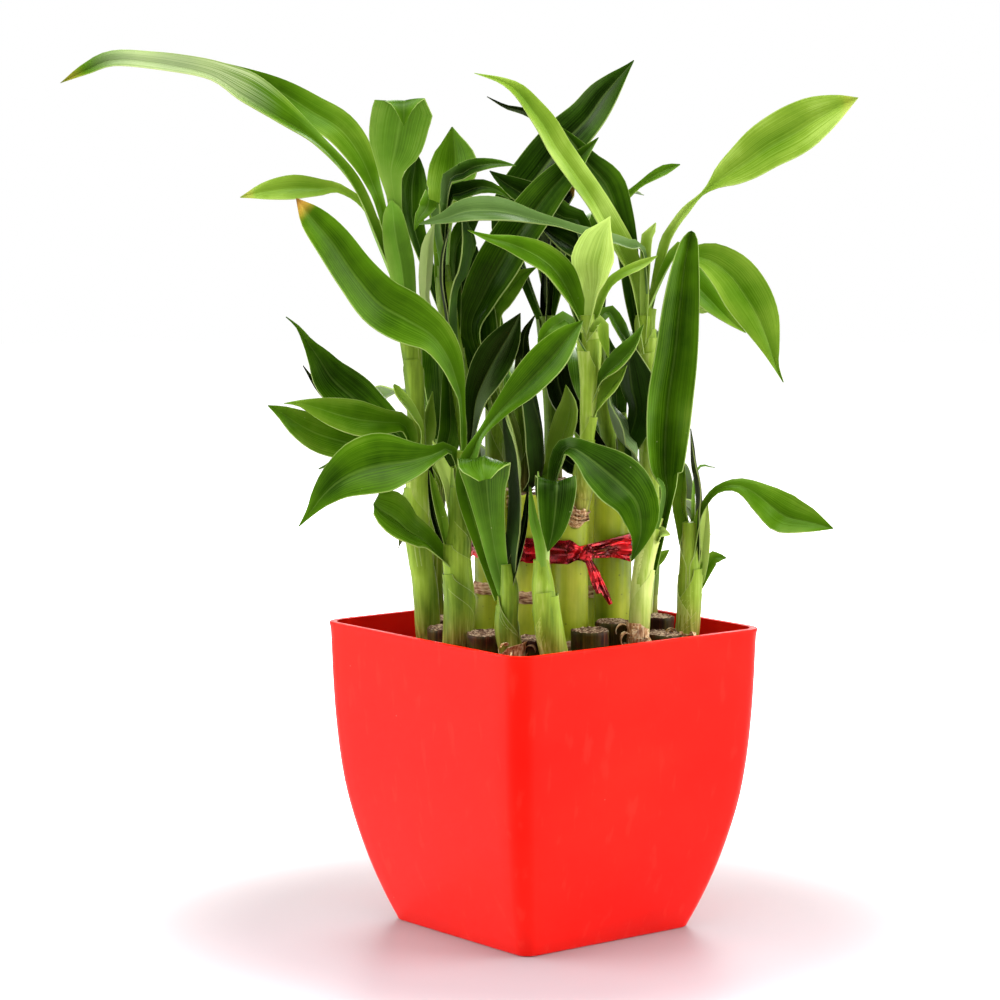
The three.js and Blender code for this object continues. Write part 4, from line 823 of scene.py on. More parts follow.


# Points along each blade, with its width there, worked out in millimetres from places read in the photograph.
# Most tones were fitted to how bright the blade is there, so they also paint the light and shade that fall on
# it; tones below zero paint deep shadow inside the plant, and the low stem tones of the inner cane shoots
# paint the shade of its heart. The blades by rule are guessed.
shoots = {
    # Tall shoot at the left, with the long arching leaf
    "shoot_tall_left": {
        "stem": [(-37, -5, 92), (-38, -8, 99), (-39, -9, 115), (-41.5, -9, 135), (-41.5, -8, 155),
                 (-42, -7, 178), (-43.5, -7, 198), (-45, -8, 222)],
        "radii": [2.6, 4.2, 4.2, 3.8, 3.2, 2.8, 3, 2.4], "tone": 0.55,
        "leaves": [
            blade([(-45, -9, 206, 4), (-54.5, -10, 230, 6), (-62.5, -12, 249.5, 6), (-73.5, -15, 262.5, 7),
                   (-86.5, -18, 271, 14.5), (-97.5, -19.5, 277.5, 17), (-107.5, -23, 284, 9.5),
                   (-122, -26.5, 287.5, 8), (-137.5, -29, 289, 7.5), (-147, -29, 285.5, 5.5),
                   (-155, -30, 281.5, 0.7)], (-40, -50), 26, 0.51, tip=0.35, highlightStripe=1),
            blade([(-45, -6, 208, 4), (-53, -3.5, 239.5, 3.5), (-56.5, 1, 249.5, 5.5), (-61, 3.5, 259, 10),
                   (-67.5, 5.5, 267, 12), (-76.5, 7.5, 272.5, 11.5), (-86, 8, 278.5, 9),
                   (-96, 7.5, 284, 4.5), (-106, 7, 288.5, 0.7)], (-60, -70), 14, 0.49),
            blade([(-45, -9, 212, 4), (-48, -14.5, 235.5, 5), (-48.5, -16.5, 244.5, 5),
                   (-49.5, -18.5, 253, 8.5), (-48, -20, 260.5, 17), (-46.5, -22, 269, 19.5),
                   (-45, -23, 274.5, 19), (-45, -24, 276, 12), (-45, -27.5, 273.5, 6.5),
                   (-45, -29.5, 268, 0.7)], (0, 0), 6, 0.53),
            blade([(-43, -9, 190, 5), (-46, -14.5, 220, 9.5), (-47.5, -16, 228.5, 10),
                   (-48.5, -18, 235.5, 8.5), (-49, -18.5, 241, 6),
                   (-49.5, -17.5, 244, 0.7)], (40, 40), 26, 0.48),
            blade([(-45, -4, 212, 4), (-56.5, 4.5, 238, 3), (-66.5, 8.5, 246.5, 3), (-74.5, 11, 247, 6.5),
                   (-83.5, 13, 247, 9.5), (-92.5, 14, 246, 7),
                   (-101, 14, 244, 0.7)], (-60, -65), 14, 0.72, tip=0.3),
            blade([(-42, -6, 160, 4), (-52, 0, 169.5, 10.5), (-62, 4.5, 176.5, 15.5), (-70, 6, 183.5, 14),
                   (-74.5, 6, 190.5, 8.5), (-78, 6.5, 195.5, 4), (-81.5, 6, 201, 1.5),
                   (-85.5, 6, 204.5, 0.7)], (-50, -70), 14, 0.3),
            blade([(-42, -6.5, 160, 4), (-54, 2.5, 164, 4.5), (-66, 10.5, 172, 3), (-74, 14.5, 178.5, 2.5),
                   (-80.5, 16, 187.5, 0.7)], (-30, -60), 16, -0.01),
            blade([(-42, -10, 154, 4), (-45, -12, 169, 6), (-52, -15, 171, 9), (-59.5, -17.5, 172, 13),
                   (-67, -20, 174, 11), (-74, -22, 176.5, 6.5), (-79.5, -22.5, 178, 2.5),
                   (-84.5, -23, 178, 0.7)], (-60, -75), 12, 0.56),
            blade([(-42, -9, 148, 3), (-48.5, -10.5, 161, 8.5), (-57.5, -12.5, 162.5, 12),
                   (-65.5, -13.5, 164.5, 13.5), (-73.5, -15, 167, 13), (-80, -17, 170.5, 10),
                   (-85.5, -18.5, 174.5, 5), (-90, -19.5, 177, 0.7)], (-60, -75), 12, 0.5),
            blade([(-41, -6, 140, 4), (-40.5, -1, 159, 6), (-38.5, 1, 168, 6.5),
                   (-36.5, 1, 180, 0.7)], (65, 65), 16, 0.81),
            blade([(-42, -10, 156, 3), (-40, -13, 167.5, 4), (-43, -14.5, 173.5, 6.5), (-46, -16, 178.5, 7),
                   (-48.5, -17, 182, 6), (-49, -17.5, 183.5, 2.5)], (-60, -60), 16, 0.74),
        ],
    },
    # Front left shoot, with the two broad leaves that lie over to the left
    "shoot_front_left": {
        "stem": [(-31, -22, 92), (-28.5, -26, 98), (-27, -27, 114), (-28, -27, 127), (-27, -27, 140),
                 (-26, -28, 163)],
        "radii": [2.6, 4.6, 4.6, 4.2, 3.4, 2.6], "tone": 0.5,
        "leaves": [
            blade([(-26, -28, 154, 3.5), (-26.5, -28.5, 177, 2.5), (-28, -29, 185, 5.5),
                   (-31, -29.5, 193.5, 9.5), (-36, -30, 200.5, 13), (-44, -31, 205.5, 17.5),
                   (-53, -32.5, 211, 17.5), (-60.5, -35, 220, 15), (-68, -37, 231, 13),
                   (-74.5, -38.5, 239, 9), (-79, -40, 245, 0.7)], (-70, -80), 12, 0.45, tip=1),
            blade([(-26, -28, 148, 3), (-30, -30.5, 163, 4.5), (-36, -33, 162, 7), (-43, -36, 160.5, 14.5),
                   (-51.5, -39, 159.5, 21), (-59, -42, 158, 19.5), (-66, -44, 154.5, 13.5),
                   (-71, -45.5, 150, 8), (-74.5, -47, 145.5, 3.5),
                   (-78.5, -48, 140.5, 0.7)], (-50, -65), 12, 0.4),
            blade([(-28, -28, 122, 3), (-38, -31, 133.5, 9), (-43.5, -35, 137.5, 14),
                   (-48, -38.5, 142, 17.5), (-52, -42, 145, 14.5),
                   (-54.5, -44.5, 147.5, 9)], (-50, -65), 16, 0.5),
            blade([(-26.5, -27, 150, 3), (-23.5, -24, 166.5, 3), (-22, -22.5, 178.5, 8),
                   (-19, -22, 186, 12), (-15, -22, 193.5, 13), (-11, -23, 200.5, 9),
                   (-7.5, -24, 207.5, 0.7)], (60, 70), 16, 0.08),
            blade([(-28, -27, 118, 3), (-35, -26.5, 139.5, 2.5), (-36, -25.5, 145, 2.5),
                   (-36.5, -24.5, 152.5, 2.5), (-37, -24, 160, 0.7)], (-70, -70), 16, -0.14),
            blade([(-29.5, -25.5, 143.5, 6), (-30.5, -26, 151.5, 5), (-33.5, -25.5, 159, 4),
                   (-36, -25, 166, 0.7)], (-70, -70), 16, 0.99),
            blade([(-31.5, -28, 131.5, 2.5), (-33, -29, 140.5, 4), (-35, -28.5, 148.5, 3),
                   (-37, -28, 156.5, 0.7)], (-70, -70), 20, 0.57),
        ],
    },
    # Front shoot with the scooped leaf, and the long leaf that crosses the middle
    "shoot_front_middle": {
        "stem": [(-6, -42, 88), (-9, -43, 96), (-11.5, -43, 106), (-11, -43, 118), (-12, -43, 128)],
        "radii": [2.4, 3.4, 3.4, 3, 2], "tone": 0.42,
        "leaves": [
            blade([(-11, -43, 112, 4), (-15, -43, 129, 7), (-17, -43.5, 141.5, 9.5), (-18, -45, 151.5, 13),
                   (-18.5, -47.5, 159, 17), (-19, -53.5, 164, 17.5), (-19.5, -61.5, 162, 15),
                   (-19, -65, 157.5, 4.5)], (0, 0), -12, 0.41),
            blade([(-14, -40, 116, 4), (-24.5, -36.5, 148, 6), (-24.5, -36.5, 158.5, 7),
                   (-22.5, -37, 164, 6), (-20, -38, 169.5, 3.5), (-13.5, -39, 177.5, 6.5),
                   (-5.5, -39, 185.5, 11.5), (2.5, -39, 194, 13), (8, -39.5, 201, 8.5),
                   (12.5, -40, 206, 0.7)], (60, 70), 22, 0.38),
            blade([(-11, -42, 112, 4), (-12.5, -41.5, 130.5, 11.5), (-11.5, -41, 140.5, 15),
                   (-11, -40.5, 149, 16.5), (-11.5, -39.5, 157.5, 15), (-12.5, -38.5, 167.5, 11),
                   (-13.5, -37, 178.5, 0.7)], (75, 75), 16, -0.01),
            blade([(-11, -42, 110, 3), (-11.5, -43, 119.5, 5), (-8.5, -44.5, 131, 4), (-6, -43.5, 142, 2.5),
                   (-5, -43, 153.5, 0.7)], (70, 70), 20, -0.11),
        ],
    },
    # Leaning front shoot, with the dark leaf that hangs in front of the ribbon
    "shoot_front_right": {
        "stem": [(3, -42, 88), (4, -45, 95), (2, -46, 105), (0, -47, 118), (-1, -47, 130)],
        "radii": [2.4, 4.2, 4.2, 3.8, 2.6], "tone": 0.6,
        "leaves": [
            blade([(-1, -47, 116, 4), (0.5, -46, 142.5, 4.5), (1.5, -46, 150.5, 8.5), (3, -48.5, 155, 12.5),
                   (4, -49.5, 155.5, 12.5), (4, -52.5, 153.5, 13), (3.5, -55.5, 147.5, 11.5),
                   (2.5, -58, 140, 7.5), (1, -60, 134, 0.7)], (0, 10), 14, 0.29),
            blade([(0, -48, 118, 3), (-1.5, -50.5, 135, 3.5), (-3.5, -50.5, 143.5, 3),
                   (-4.5, -49, 153.5, 0.7)], (70, 70), 16, 0.53),
            blade([(-1, -46, 116, 4), (2.5, -41, 145, 7), (3.5, -40.5, 155, 10), (5.5, -41, 162, 11.5),
                   (8, -43.5, 165.5, 7), (13, -47, 163.5, 9.5), (19, -50.5, 159, 16.5),
                   (24.5, -53.5, 154.5, 18.5), (29, -57, 149.5, 15), (30.5, -58.5, 143.5, 11.5),
                   (30, -59.5, 137.5, 5.5), (27.5, -60.5, 131, 0.7)], (30, 55), 10, 0.29),
            blade([(0, -47, 116, 3), (0.5, -49.5, 136.5, 3), (-1, -50.5, 147.5, 2.5),
                   (-2, -50, 158.5, 0.7)], (50, 50), 16, 0.8),
        ],
    },
    # Shoot of the front cane, with the pale new leaf
    "shoot_cane_c": {
        "stem": [(10, -24, 138), (11.5, -27, 145), (13, -25.5, 153), (14, -24, 166), (15, -24, 181),
                 (15, -24, 195), (14, -24, 207)],
        "radii": [2.4, 3.6, 3.3, 2, 2.6, 3.2, 2.6], "tone": 0.62,
        "leaves": [
            blade([(14, -25, 200, 3.5), (16, -26, 212.5, 8), (17, -26.5, 218.5, 15.5),
                   (17, -27.5, 223.5, 20), (18, -28, 228, 20), (19, -29, 232, 16), (20, -29.5, 235, 8.5),
                   (21.5, -30, 239, 0.7)], (70, 70), 12, 0.93),
            blade([(14, -25, 200, 3.5), (9.5, -25.5, 211.5, 8.5), (6, -27.5, 218, 12),
                   (1.5, -28.5, 223.5, 11), (-4.5, -30, 227.5, 9.5), (-11.5, -31, 230.5, 6),
                   (-17.5, -31.5, 232, 3), (-24.5, -32, 234.5, 0.7)], (-50, -65), 14, 0.49),
            blade([(15, -24, 200, 3), (20, -24.5, 215, 3.5), (25, -24.5, 220, 3.5), (31.5, -23.5, 223, 3.5),
                   (37, -23, 226, 0.7)], (60, 60), 16, 0.75),
            blade([(14, -24, 172, 3), (17.5, -26, 182.5, 3.5), (19.5, -27.5, 187, 5.5),
                   (22.5, -29, 190, 7.5), (26, -32, 193.5, 8.5), (29.5, -34, 198, 7),
                   (32, -36, 204.5, 0.7)], (60, 65), 26, 0.45),
            blade([(13.5, -24, 164, 3), (16.5, -25, 174.5, 3), (19, -26.5, 179, 4.5), (22, -27, 183.5, 7),
                   (25, -28.5, 187.5, 4), (27, -29.5, 191, 0.7)], (60, 60), 20, 0.67),
            blade([(14, -23, 198, 3), (20.5, -17.5, 207.5, 4.5), (24, -16.5, 203.5, 6.5),
                   (26.5, -16.5, 199, 5.5), (29, -17, 195.5, 0.7)], (60, 60), 16, 0.36, tip=0.8),
            blade([(14, -26, 198, 3), (18.5, -29.5, 205, 4), (19.5, -30.5, 200, 3.5),
                   (21, -31, 193.5, 0.7)], (60, 60), 16, 0.75),
            blade([(14, -26, 194, 3), (8, -30.5, 205, 5.5), (4.5, -32.5, 204.5, 5.5),
                   (1.5, -34.5, 202.5, 5.5), (-0.5, -35.5, 199.5, 3.5),
                   (-2, -37, 195.5, 0.7)], (-50, -60), 16, 0.37),
        ],
    },
    # Tall shoot at the right, with the high leaf, the drooping one and the arch that carries a painted
    # greyish sheen
    "shoot_tall_right": {
        "stem": [(35, 2, 92), (33.5, 4.5, 98), (34, 4, 112), (35.5, 3, 130), (36, 3, 158), (36, 4, 185),
                 (34, 4, 200), (35, 5, 212)],
        "radii": [2.6, 3.4, 3.4, 3.2, 3, 2.6, 2.8, 2.2], "tone": 0.66,
        "leaves": [
            blade([(35, 5, 200, 3), (40.5, 5, 226.5, 4.5), (44, 4, 234.5, 4), (48, 3.5, 240, 4),
                   (52.5, 2.5, 245, 2), (56, 1.5, 248, 4.5), (61, 1.5, 251.5, 11), (68, -0.5, 256, 16),
                   (75, -2, 261, 18.5), (83, -4, 265.5, 19.5), (90, -5.5, 270, 16.5), (97, -7, 274, 9.5),
                   (103, -9, 277, 0.7)], (55, 65), 14, 0.76, tip=0.2),
            blade([(35, 3, 206, 3), (44, 0.5, 225.5, 6.5), (49, -1, 225, 7), (55.5, -3, 223.5, 12),
                   (62, -6.5, 218.5, 16), (67, -9.5, 211.5, 17), (71, -13, 204.5, 14),
                   (74, -16, 196.5, 7.5), (76, -17.5, 190, 2.5),
                   (78.5, -19, 184.5, 0.7)], (45, 60), 16, 0.55),
            blade([(35, 5, 206, 3), (42, 5.5, 224.5, 2.5), (46, 6.5, 222.5, 4.5), (51, 9.5, 215.5, 13),
                   (56.5, 9.5, 209.5, 11), (62.5, 8.5, 203.5, 5.5), (68, 8, 199, 0.7)], (50, 60), 16, 0.55),
            blade([(34, 2, 192, 3), (30.5, 2.5, 216.5, 7), (26.5, 1.5, 226, 9.5), (21.5, 0.5, 235, 10.5),
                   (16.5, -1.5, 244, 10), (10.5, -3.5, 252.5, 10), (5, -4.5, 260, 10),
                   (0.5, -6, 267.5, 9.5), (-3.5, -6, 273, 8), (-8.5, -7, 279, 6), (-14, -7.5, 282.5, 3),
                   (-22.5, -8, 285, 0.7)], (-60, -60), 18, 0.78),
            blade([(34, 4, 188, 4), (30, 6.5, 209.5, 6), (28, 6.5, 226.5, 8), (24.5, 7.5, 239.5, 11),
                   (21, 8.5, 248.5, 12.5), (15, 9, 255.5, 9), (10.5, 8.5, 262, 5),
                   (6, 8, 267.5, 0.7)], (-65, -70), 14, 0.24),
            blade([(34, 2, 196, 3), (34.5, 1.5, 228, 4.5), (36, 1.5, 232.5, 4),
                   (37.5, 1, 236, 0.7)], (70, 70), 16, 0.87),
            blade([(35, 4, 204, 3), (33, -1.5, 226, 4), (28, -4.5, 228.5, 5.5), (20, -8.5, 231.5, 4.5),
                   (12, -11.5, 233.5, 4.5), (4, -14.5, 236, 5.5), (-4.5, -16.5, 238, 8.5),
                   (-13, -17.5, 240, 12), (-20, -18.5, 240.5, 12), (-26, -19, 240, 9.5),
                   (-32, -19.5, 238, 5), (-40.5, -19, 236, 0.7)], (-30, -45), 14, 0.48, grey=1),
            blade([(35, 6, 188, 3), (46, 11.5, 208, 2.5), (51.5, 12.5, 207, 4), (55.5, 12.5, 207, 4),
                   (59, 12, 207.5, 0.7)], (60, 60), 16, 1.0),
        ],
    },
    # Front shoot at the right, with the rolled upright leaf
    "shoot_right_front": {
        "stem": [(28.5, -25, 94), (30.8, -28, 100), (31.8, -28, 117), (33.6, -26, 130), (37, -24, 141)],
        "radii": [2.4, 3.1, 2.9, 2.8, 2.4], "tone": 0.85,
        "leaves": [
            blade([(36, -25, 122, 3), (40.5, -23, 147, 5.5), (40, -20, 154.5, 14), (40, -19, 165.5, 17.5),
                   (41, -18.5, 179.5, 18.5), (43, -19, 194, 17), (44.5, -20, 210, 14.5),
                   (46, -20, 223, 10.5), (47.5, -20, 231.5, 6.5), (48, -22, 234, 3)], (80, 80), 34, 0.38),
            blade([(37, -27.5, 136, 3.5), (39, -28.5, 144, 4.5), (39.5, -29.5, 151, 4.5),
                   (37, -30, 154.5, 1)], (70, 70), 24, 0.44),
            blade([(36.5, -25.5, 131.5, 3.5), (38.5, -27.5, 135.5, 6), (39.5, -28.5, 136, 3),
                   (41.5, -29, 135.5, 0.7)], (50, 50), 16, 1.0),
            blade([(33, -27, 108, 3), (34.5, -24.5, 122.5, 2), (37, -21.5, 125.5, 3.5),
                   (39.5, -20.5, 128, 3), (41.5, -20, 129.5, 0.7)], (60, 60), 16, 0.67),
        ],
    },
    # Right shoot, with the low leaf that points away to the right
    "shoot_right": {
        "stem": [(45, -18, 94), (47.5, -14, 99), (48.5, -13, 115), (48.5, -13, 138)],
        "radii": [2.4, 3.6, 3.4, 2.3], "tone": 0.68,
        "leaves": [
            blade([(49, -14, 120, 3), (51.5, -14.5, 137, 4), (53.5, -16.5, 143.5, 3), (57, -19.5, 149, 3),
                   (62.5, -21, 151, 5), (67.5, -22, 149.5, 8), (73, -23.5, 145.5, 12.5), (79, -24, 141, 15),
                   (86.5, -26.5, 139.5, 9.5), (94.5, -28, 137.5, 0.7)], (45, 60), 16, 0.51),
            blade([(50, -12, 118, 4), (51, -12.5, 141, 9.5), (50.5, -13.5, 150, 12), (49, -14, 158.5, 7.5),
                   (48.5, -15, 169, 0.7)], (-70, -70), 16, -0.02),
            blade([(49, -12, 118, 3), (47.5, -10, 135, 7), (46, -9.5, 142, 7.5), (46, -8.5, 148, 6.5),
                   (47, -8, 157.5, 0.7)], (-80, -80), 16, 0.5),
            blade([(50, -12, 108, 3), (52.5, -9.5, 122.5, 5), (53.5, -10, 133.5, 4.5),
                   (54.5, -11, 144.5, 0.7)], (70, 70), 24, 1.0),
            blade([(50, -12, 112, 3), (55.5, -9.5, 124, 5), (58, -9.5, 125.5, 4),
                   (61, -10, 125.5, 0.7)], (60, 60), 16, 0.51),
            blade([(49, -11, 134, 2), (51.5, 0, 153.5, 1), (58, 6, 154, 0.7)], (60, 60), 10, 0.5),
        ],
    },
    # Shoot of the right cane, with leaves behind the front ones that are painted dark for the shade there
    "shoot_cane_d": {
        "stem": [(25, -3, 140), (29, -2.5, 146), (28, -1, 154), (26, 0, 173)],
        "radii": [2.2, 3, 2.6, 2], "tone": 0.42,
        "leaves": [
            blade([(27, -2, 148, 4), (30, -10, 159.5, 13), (25.5, -10.5, 165, 21), (22.5, -12, 173, 17.5),
                   (21.5, -13, 179, 9), (22.5, -13, 183.5, 0.7)], (-70, -70), 14, 0.66, grey=1),
            blade([(26, -1, 156, 4), (31, -7.5, 172.5, 13.5), (29.5, -8.5, 182.5, 18.5),
                   (28.5, -9, 191, 12), (28, -9, 199.5, 0.7)], (-65, -65), 14, 0.17),
            blade([(26, -1, 152, 4), (15, 3.5, 166, 6.5), (6.5, 5.5, 178.5, 9.5), (5, 6, 191, 6.5),
                   (6.5, 6, 203, 0.7)], (-65, -65), 16, -0.14),
            blade([(27, -2, 154, 4), (16.5, -6, 154, 4.5), (9.5, -7, 156.5, 8.5), (4.5, -7.5, 161.5, 5),
                   (2, -8, 168, 0.7)], (-65, -65), 16, -0.1),
            blade([(26, 0, 162, 3), (25, 4, 174, 7), (24, 7, 186, 9), (22, 8, 198, 1)], (10, 10), 16, 0.2),
        ],
    },
    # Shoot of the left cane, with the broad upright leaf and its dark arching ones
    "shoot_cane_a": {
        "stem": [(-20, -6, 138), (-23.5, -7.5, 144), (-23.5, -6, 156), (-25, -5, 168), (-27, -3, 181),
                 (-31, -1, 203), (-33, 0, 222)],
        "radii": [2.2, 3.2, 3, 2.8, 2.8, 2.6, 2.2], "tone": 0.3,
        "leaves": [
            blade([(-33, 0, 208, 4), (-33, 4, 240, 9), (-31, 6.5, 247, 15.5), (-29, 9, 254, 18.5),
                   (-29, 9, 260, 14), (-29.5, 8.5, 263.5, 7.5), (-30, 8, 267.5, 0.7)], (0, 0), 12, 0.53),
            blade([(-33, -1, 214, 3), (-31, -5.5, 248, 6.5), (-27, -7.5, 252, 7.5), (-22.5, -9, 254.5, 6),
                   (-17, -10.5, 255.5, 4), (-13, -11.5, 255.5, 2.5),
                   (-9, -12.5, 255, 0.7)], (45, 60), 16, 0.3),
            blade([(-33, -1, 214, 3), (-30.5, -5.5, 242.5, 9), (-26, -7, 246, 8.5), (-20.5, -9, 248, 6),
                   (-15, -10.5, 247, 3), (-10.5, -12, 244, 0.7)], (45, 60), 16, 0.32),
            blade([(-33, -1, 216, 3), (-37, -9.5, 242.5, 10), (-38, -11.5, 241, 5.5),
                   (-40.5, -14.5, 238, 3.5), (-42, -17, 234, 0.7)], (-40, -40), 16, 0.43),
            blade([(-30, -2, 190, 3), (-38, -8.5, 209, 3), (-38.5, -10.5, 216.5, 4.5), (-38, -11.5, 224, 5),
                   (-37.5, -12, 230, 4), (-35.5, -12, 236.5, 0.7)], (50, 50), 18, 1.0),
            blade([(-33, 1, 204, 4), (-42.5, 10, 233, 7), (-43.5, 12, 241, 11), (-43.5, 14, 248, 12),
                   (-42.5, 14.5, 254, 7), (-42, 14, 259, 0.7)], (0, 0), 14, 0.29),
            blade([(-27, -4, 176, 4), (-28.5, -11.5, 211, 8.5), (-25, -12.5, 220, 15),
                   (-23, -13.5, 228.5, 15.5), (-24.5, -13.5, 234.5, 8.5),
                   (-26.5, -13, 239, 0.7)], (70, 70), 14, 0.24),
            blade([(-29, -1, 192, 4), (-29, 4, 222.5, 5), (-27, 6, 231.5, 7.5), (-23, 6.5, 238, 5),
                   (-18, 7, 242.5, 0.7)], (60, 60), 16, 0.28),
            blade([(-24, -6, 150, 4), (-32, -5.5, 158.5, 7), (-30.5, -4.5, 168.5, 8.5),
                   (-31, -4, 182.5, 5.5), (-32, -4, 194, 0.7)], (-65, -65), 16, 0.28),
            blade([(-26, -5, 168, 3), (-32.5, -12, 209.5, 5.5), (-33.5, -13, 220.5, 8.5),
                   (-32.5, -14, 228.5, 7), (-30, -14.5, 236, 0.7)], (-70, -70), 16, -0.14),
        ],
    },
    # Shoot of the front left cane, with upright leaves in the middle, two of them painted dark for the shade
    # there
    "shoot_cane_b": {
        "stem": [(-5, -14, 140), (-7.5, -11.5, 147), (-7, -11, 156), (-9, -10, 182)],
        "radii": [2.2, 3, 2.6, 2], "tone": 0.3,
        "leaves": [
            blade([(-9, -10, 168, 3), (-7, -8, 186, 5), (-6.5, -8.5, 193, 5), (-6, -7.5, 199.5, 3),
                   (-2.5, -8, 206, 0.7)], (70, 70), 16, -0.14),
            blade([(-7, -11, 150, 4), (3, -12.5, 155, 6.5), (5.5, -13.5, 163.5, 9.5), (8, -15, 171.5, 10),
                   (9, -15, 177.5, 7), (7.5, -16, 183.5, 0.7)], (70, 70), 16, 0.69),
            blade([(-5.5, -12, 147, 4), (-0.5, -18, 154.5, 10), (-0.5, -19.5, 165.5, 14),
                   (-2.5, -20, 175, 13.5), (-5, -19.5, 184, 8.5),
                   (-7, -19, 192.5, 0.7)], (75, 75), 16, 0.11),
            blade([(-9, -12.5, 150, 4), (-8.5, -16.5, 158.5, 7), (-10.5, -18.5, 168, 10.5),
                   (-13, -20, 178, 7.5), (-15, -20, 186, 0.7)], (-60, -60), 16, 0.81),
        ],
    },
    # Shoot of the back left cane, with the dark leaf that points up to the right
    "shoot_cane_g": {
        "stem": [(-13, 9, 140), (-15, 6, 146), (-15.5, 5, 158), (-15, 3, 194)],
        "radii": [2.2, 3, 2.8, 2.2], "tone": 0.28,
        "leaves": [
            blade([(-15, 3, 178, 4), (-23.5, 3, 199, 10), (-19.5, 1.5, 211.5, 14.5), (-14.5, -0.5, 221, 17),
                   (-9.5, -1.5, 230, 16.5), (-4, -1, 238, 15.5), (2, 0.5, 246, 13), (8.5, 2, 253, 9.5),
                   (14, 2.5, 259, 4.5), (18.5, 2, 264, 0.7)], (60, 70), 16, 0.32),
            blade([(-15, 4, 182, 4), (-17, 5.5, 204, 8), (-13, 6, 211, 8.5), (-9, 7, 216, 7),
                   (-5.5, 6.5, 219, 3.5), (-2, 6, 221, 0.7)], (60, 65), 16, 0.55),
            blade([(-15, 4, 170, 4), (-20, 4, 190, 13), (-23, 5, 208, 15),
                   (-22, 6, 228, 1)], (-80, -80), 14, 0.25),
            arch((-15, 6, 178), 132, 40, 52, 6, 13, (0, 0), 0.35),
        ],
    },
    # Shoot of the back cane, with the highest dark leaf
    "shoot_cane_f": {
        "stem": [(5, 21, 140), (4, 25, 147), (4, 24, 160), (3.5, 24, 180), (1.5, 23, 204)],
        "radii": [2.2, 3.2, 3, 2.8, 2.4], "tone": 0.28,
        "leaves": [
            blade([(1, 23, 201, 4), (-7.5, 23.5, 222.5, 6.5), (-11.5, 23.5, 230.5, 10.5), (-9, 22, 241, 16),
                   (-0.5, 20, 252, 19), (7.5, 18.5, 262, 18.5), (15, 17.5, 270, 15.5), (20, 16, 277, 13),
                   (24.5, 15, 282.5, 8), (28, 14.5, 286.5, 3.5),
                   (30.5, 14, 289.5, 0.7)], (60, 70), 12, 0.19),
            blade([(1.5, 24, 200, 3), (4.5, 22.5, 246.5, 3.5), (3.5, 22.5, 259.5, 4), (-0.5, 22.5, 269, 4),
                   (-6, 22.5, 272.5, 3), (-12, 22, 274, 2),
                   (-18.5, 22, 277.5, 0.7)], (-60, -60), 16, -0.08),
            blade([(1.5, 23, 198, 4), (2, 18.5, 229.5, 7.5), (4, 18, 237.5, 11.5), (7.5, 17.5, 242.5, 10),
                   (10, 17.5, 245.5, 7.5), (11, 17, 247.5, 2)], (60, 60), 16, -0.06, tip=1),
            arch((3, 24, 200), 66, 50, 46, 14, 14, (0, 0), 0.35),
            arch((3, 25, 202), 104, 44, 52, 8, 12, (0, 0), 0.3),
        ],
    },
    # Shoot of the back right cane
    "shoot_cane_e": {
        "stem": [(23, 12, 140), (26, 14, 146), (24, 15, 158), (20, 15, 180), (17, 15, 206)],
        "radii": [2.2, 3, 2.8, 2.6, 2.2], "tone": 0.3,
        "leaves": [
            blade([(17, 15, 196, 3), (22.5, 13.5, 230, 3), (23.5, 12.5, 239, 2.5), (27.5, 12.5, 243.5, 3.5),
                   (32.5, 12.5, 248, 2.5), (38, 12.5, 251.5, 4), (42, 12.5, 253.5, 4),
                   (46, 12, 255, 0.7)], (50, 60), 16, 0.53),
            blade([(18, 15, 186, 4), (14, 14, 204, 11), (11, 14, 220, 12),
                   (13, 14, 236, 1)], (-70, -70), 16, 0.25),
            blade([(18, 15, 188, 4), (18.5, 9.5, 222.5, 7.5), (13.5, 8, 226, 11), (6.5, 6, 230, 11.5),
                   (1.5, 4.5, 233.5, 6.5), (-2.5, 4, 236.5, 0.7)], (-60, -60), 16, 0.16),
            blade([(17, 15, 198, 4), (13.5, 10, 233, 6.5), (7, 7, 237.5, 10.5), (-1.5, 6.5, 242.5, 12),
                   (-9.5, 6, 247, 8), (-14.5, 5.5, 250.5, 4), (-17.5, 5, 253, 0.7)], (-60, -65), 16, 0.25),
            arch((16.5, 16, 206), 60, 38, 44, 6, 12, (0, 0), 0.35),
        ],
    },
    # Back shoots, seen through the gaps and from behind
    "shoot_back_left": {
        "stem": [(-33, 18, 92), (-36, 19.5, 98), (-37, 20, 118), (-36, 21, 140), (-34, 22, 162)],
        "radii": [2.4, 3.6, 3.4, 3, 2.4], "tone": 0.42,
        "leaves": [
            arch((-34, 22, 144), 158, 46, 18, 12, 14, (-30, -40), 0.4),
            arch((-34, 22, 156), 120, 64, 30, 24, 17, (0, 0), 0.5),
            arch((-34, 22, 154), 96, 40, 52, 6, 13, (0, 0), 0.35),
            arch((-36, 21, 134), 106, 52, 14, 30, 13, (0, 0), 0.3),
        ],
    },
    "shoot_back_middle_left": {
        "stem": [(-14, 34, 92), (-15, 38.5, 98), (-14, 40, 120), (-12, 41, 146), (-11, 42, 172)],
        "radii": [2.4, 3.6, 3.4, 3, 2.4], "tone": 0.42,
        "leaves": [
            arch((-11, 42, 160), 122, 66, 34, 26, 18, (0, 0), 0.45),
            arch((-11, 42, 164), 84, 60, 30, 22, 16, (0, 0), 0.35),
            arch((-12, 41, 146), 102, 62, 16, 34, 16, (0, 0), 0.3),
        ],
    },
    "shoot_back_middle_right": {
        "stem": [(11, 38, 92), (12, 42.5, 98), (13, 43, 118), (14, 44, 138), (15, 44, 158)],
        "radii": [2.4, 3.6, 3.4, 3, 2.4], "tone": 0.42,
        "leaves": [
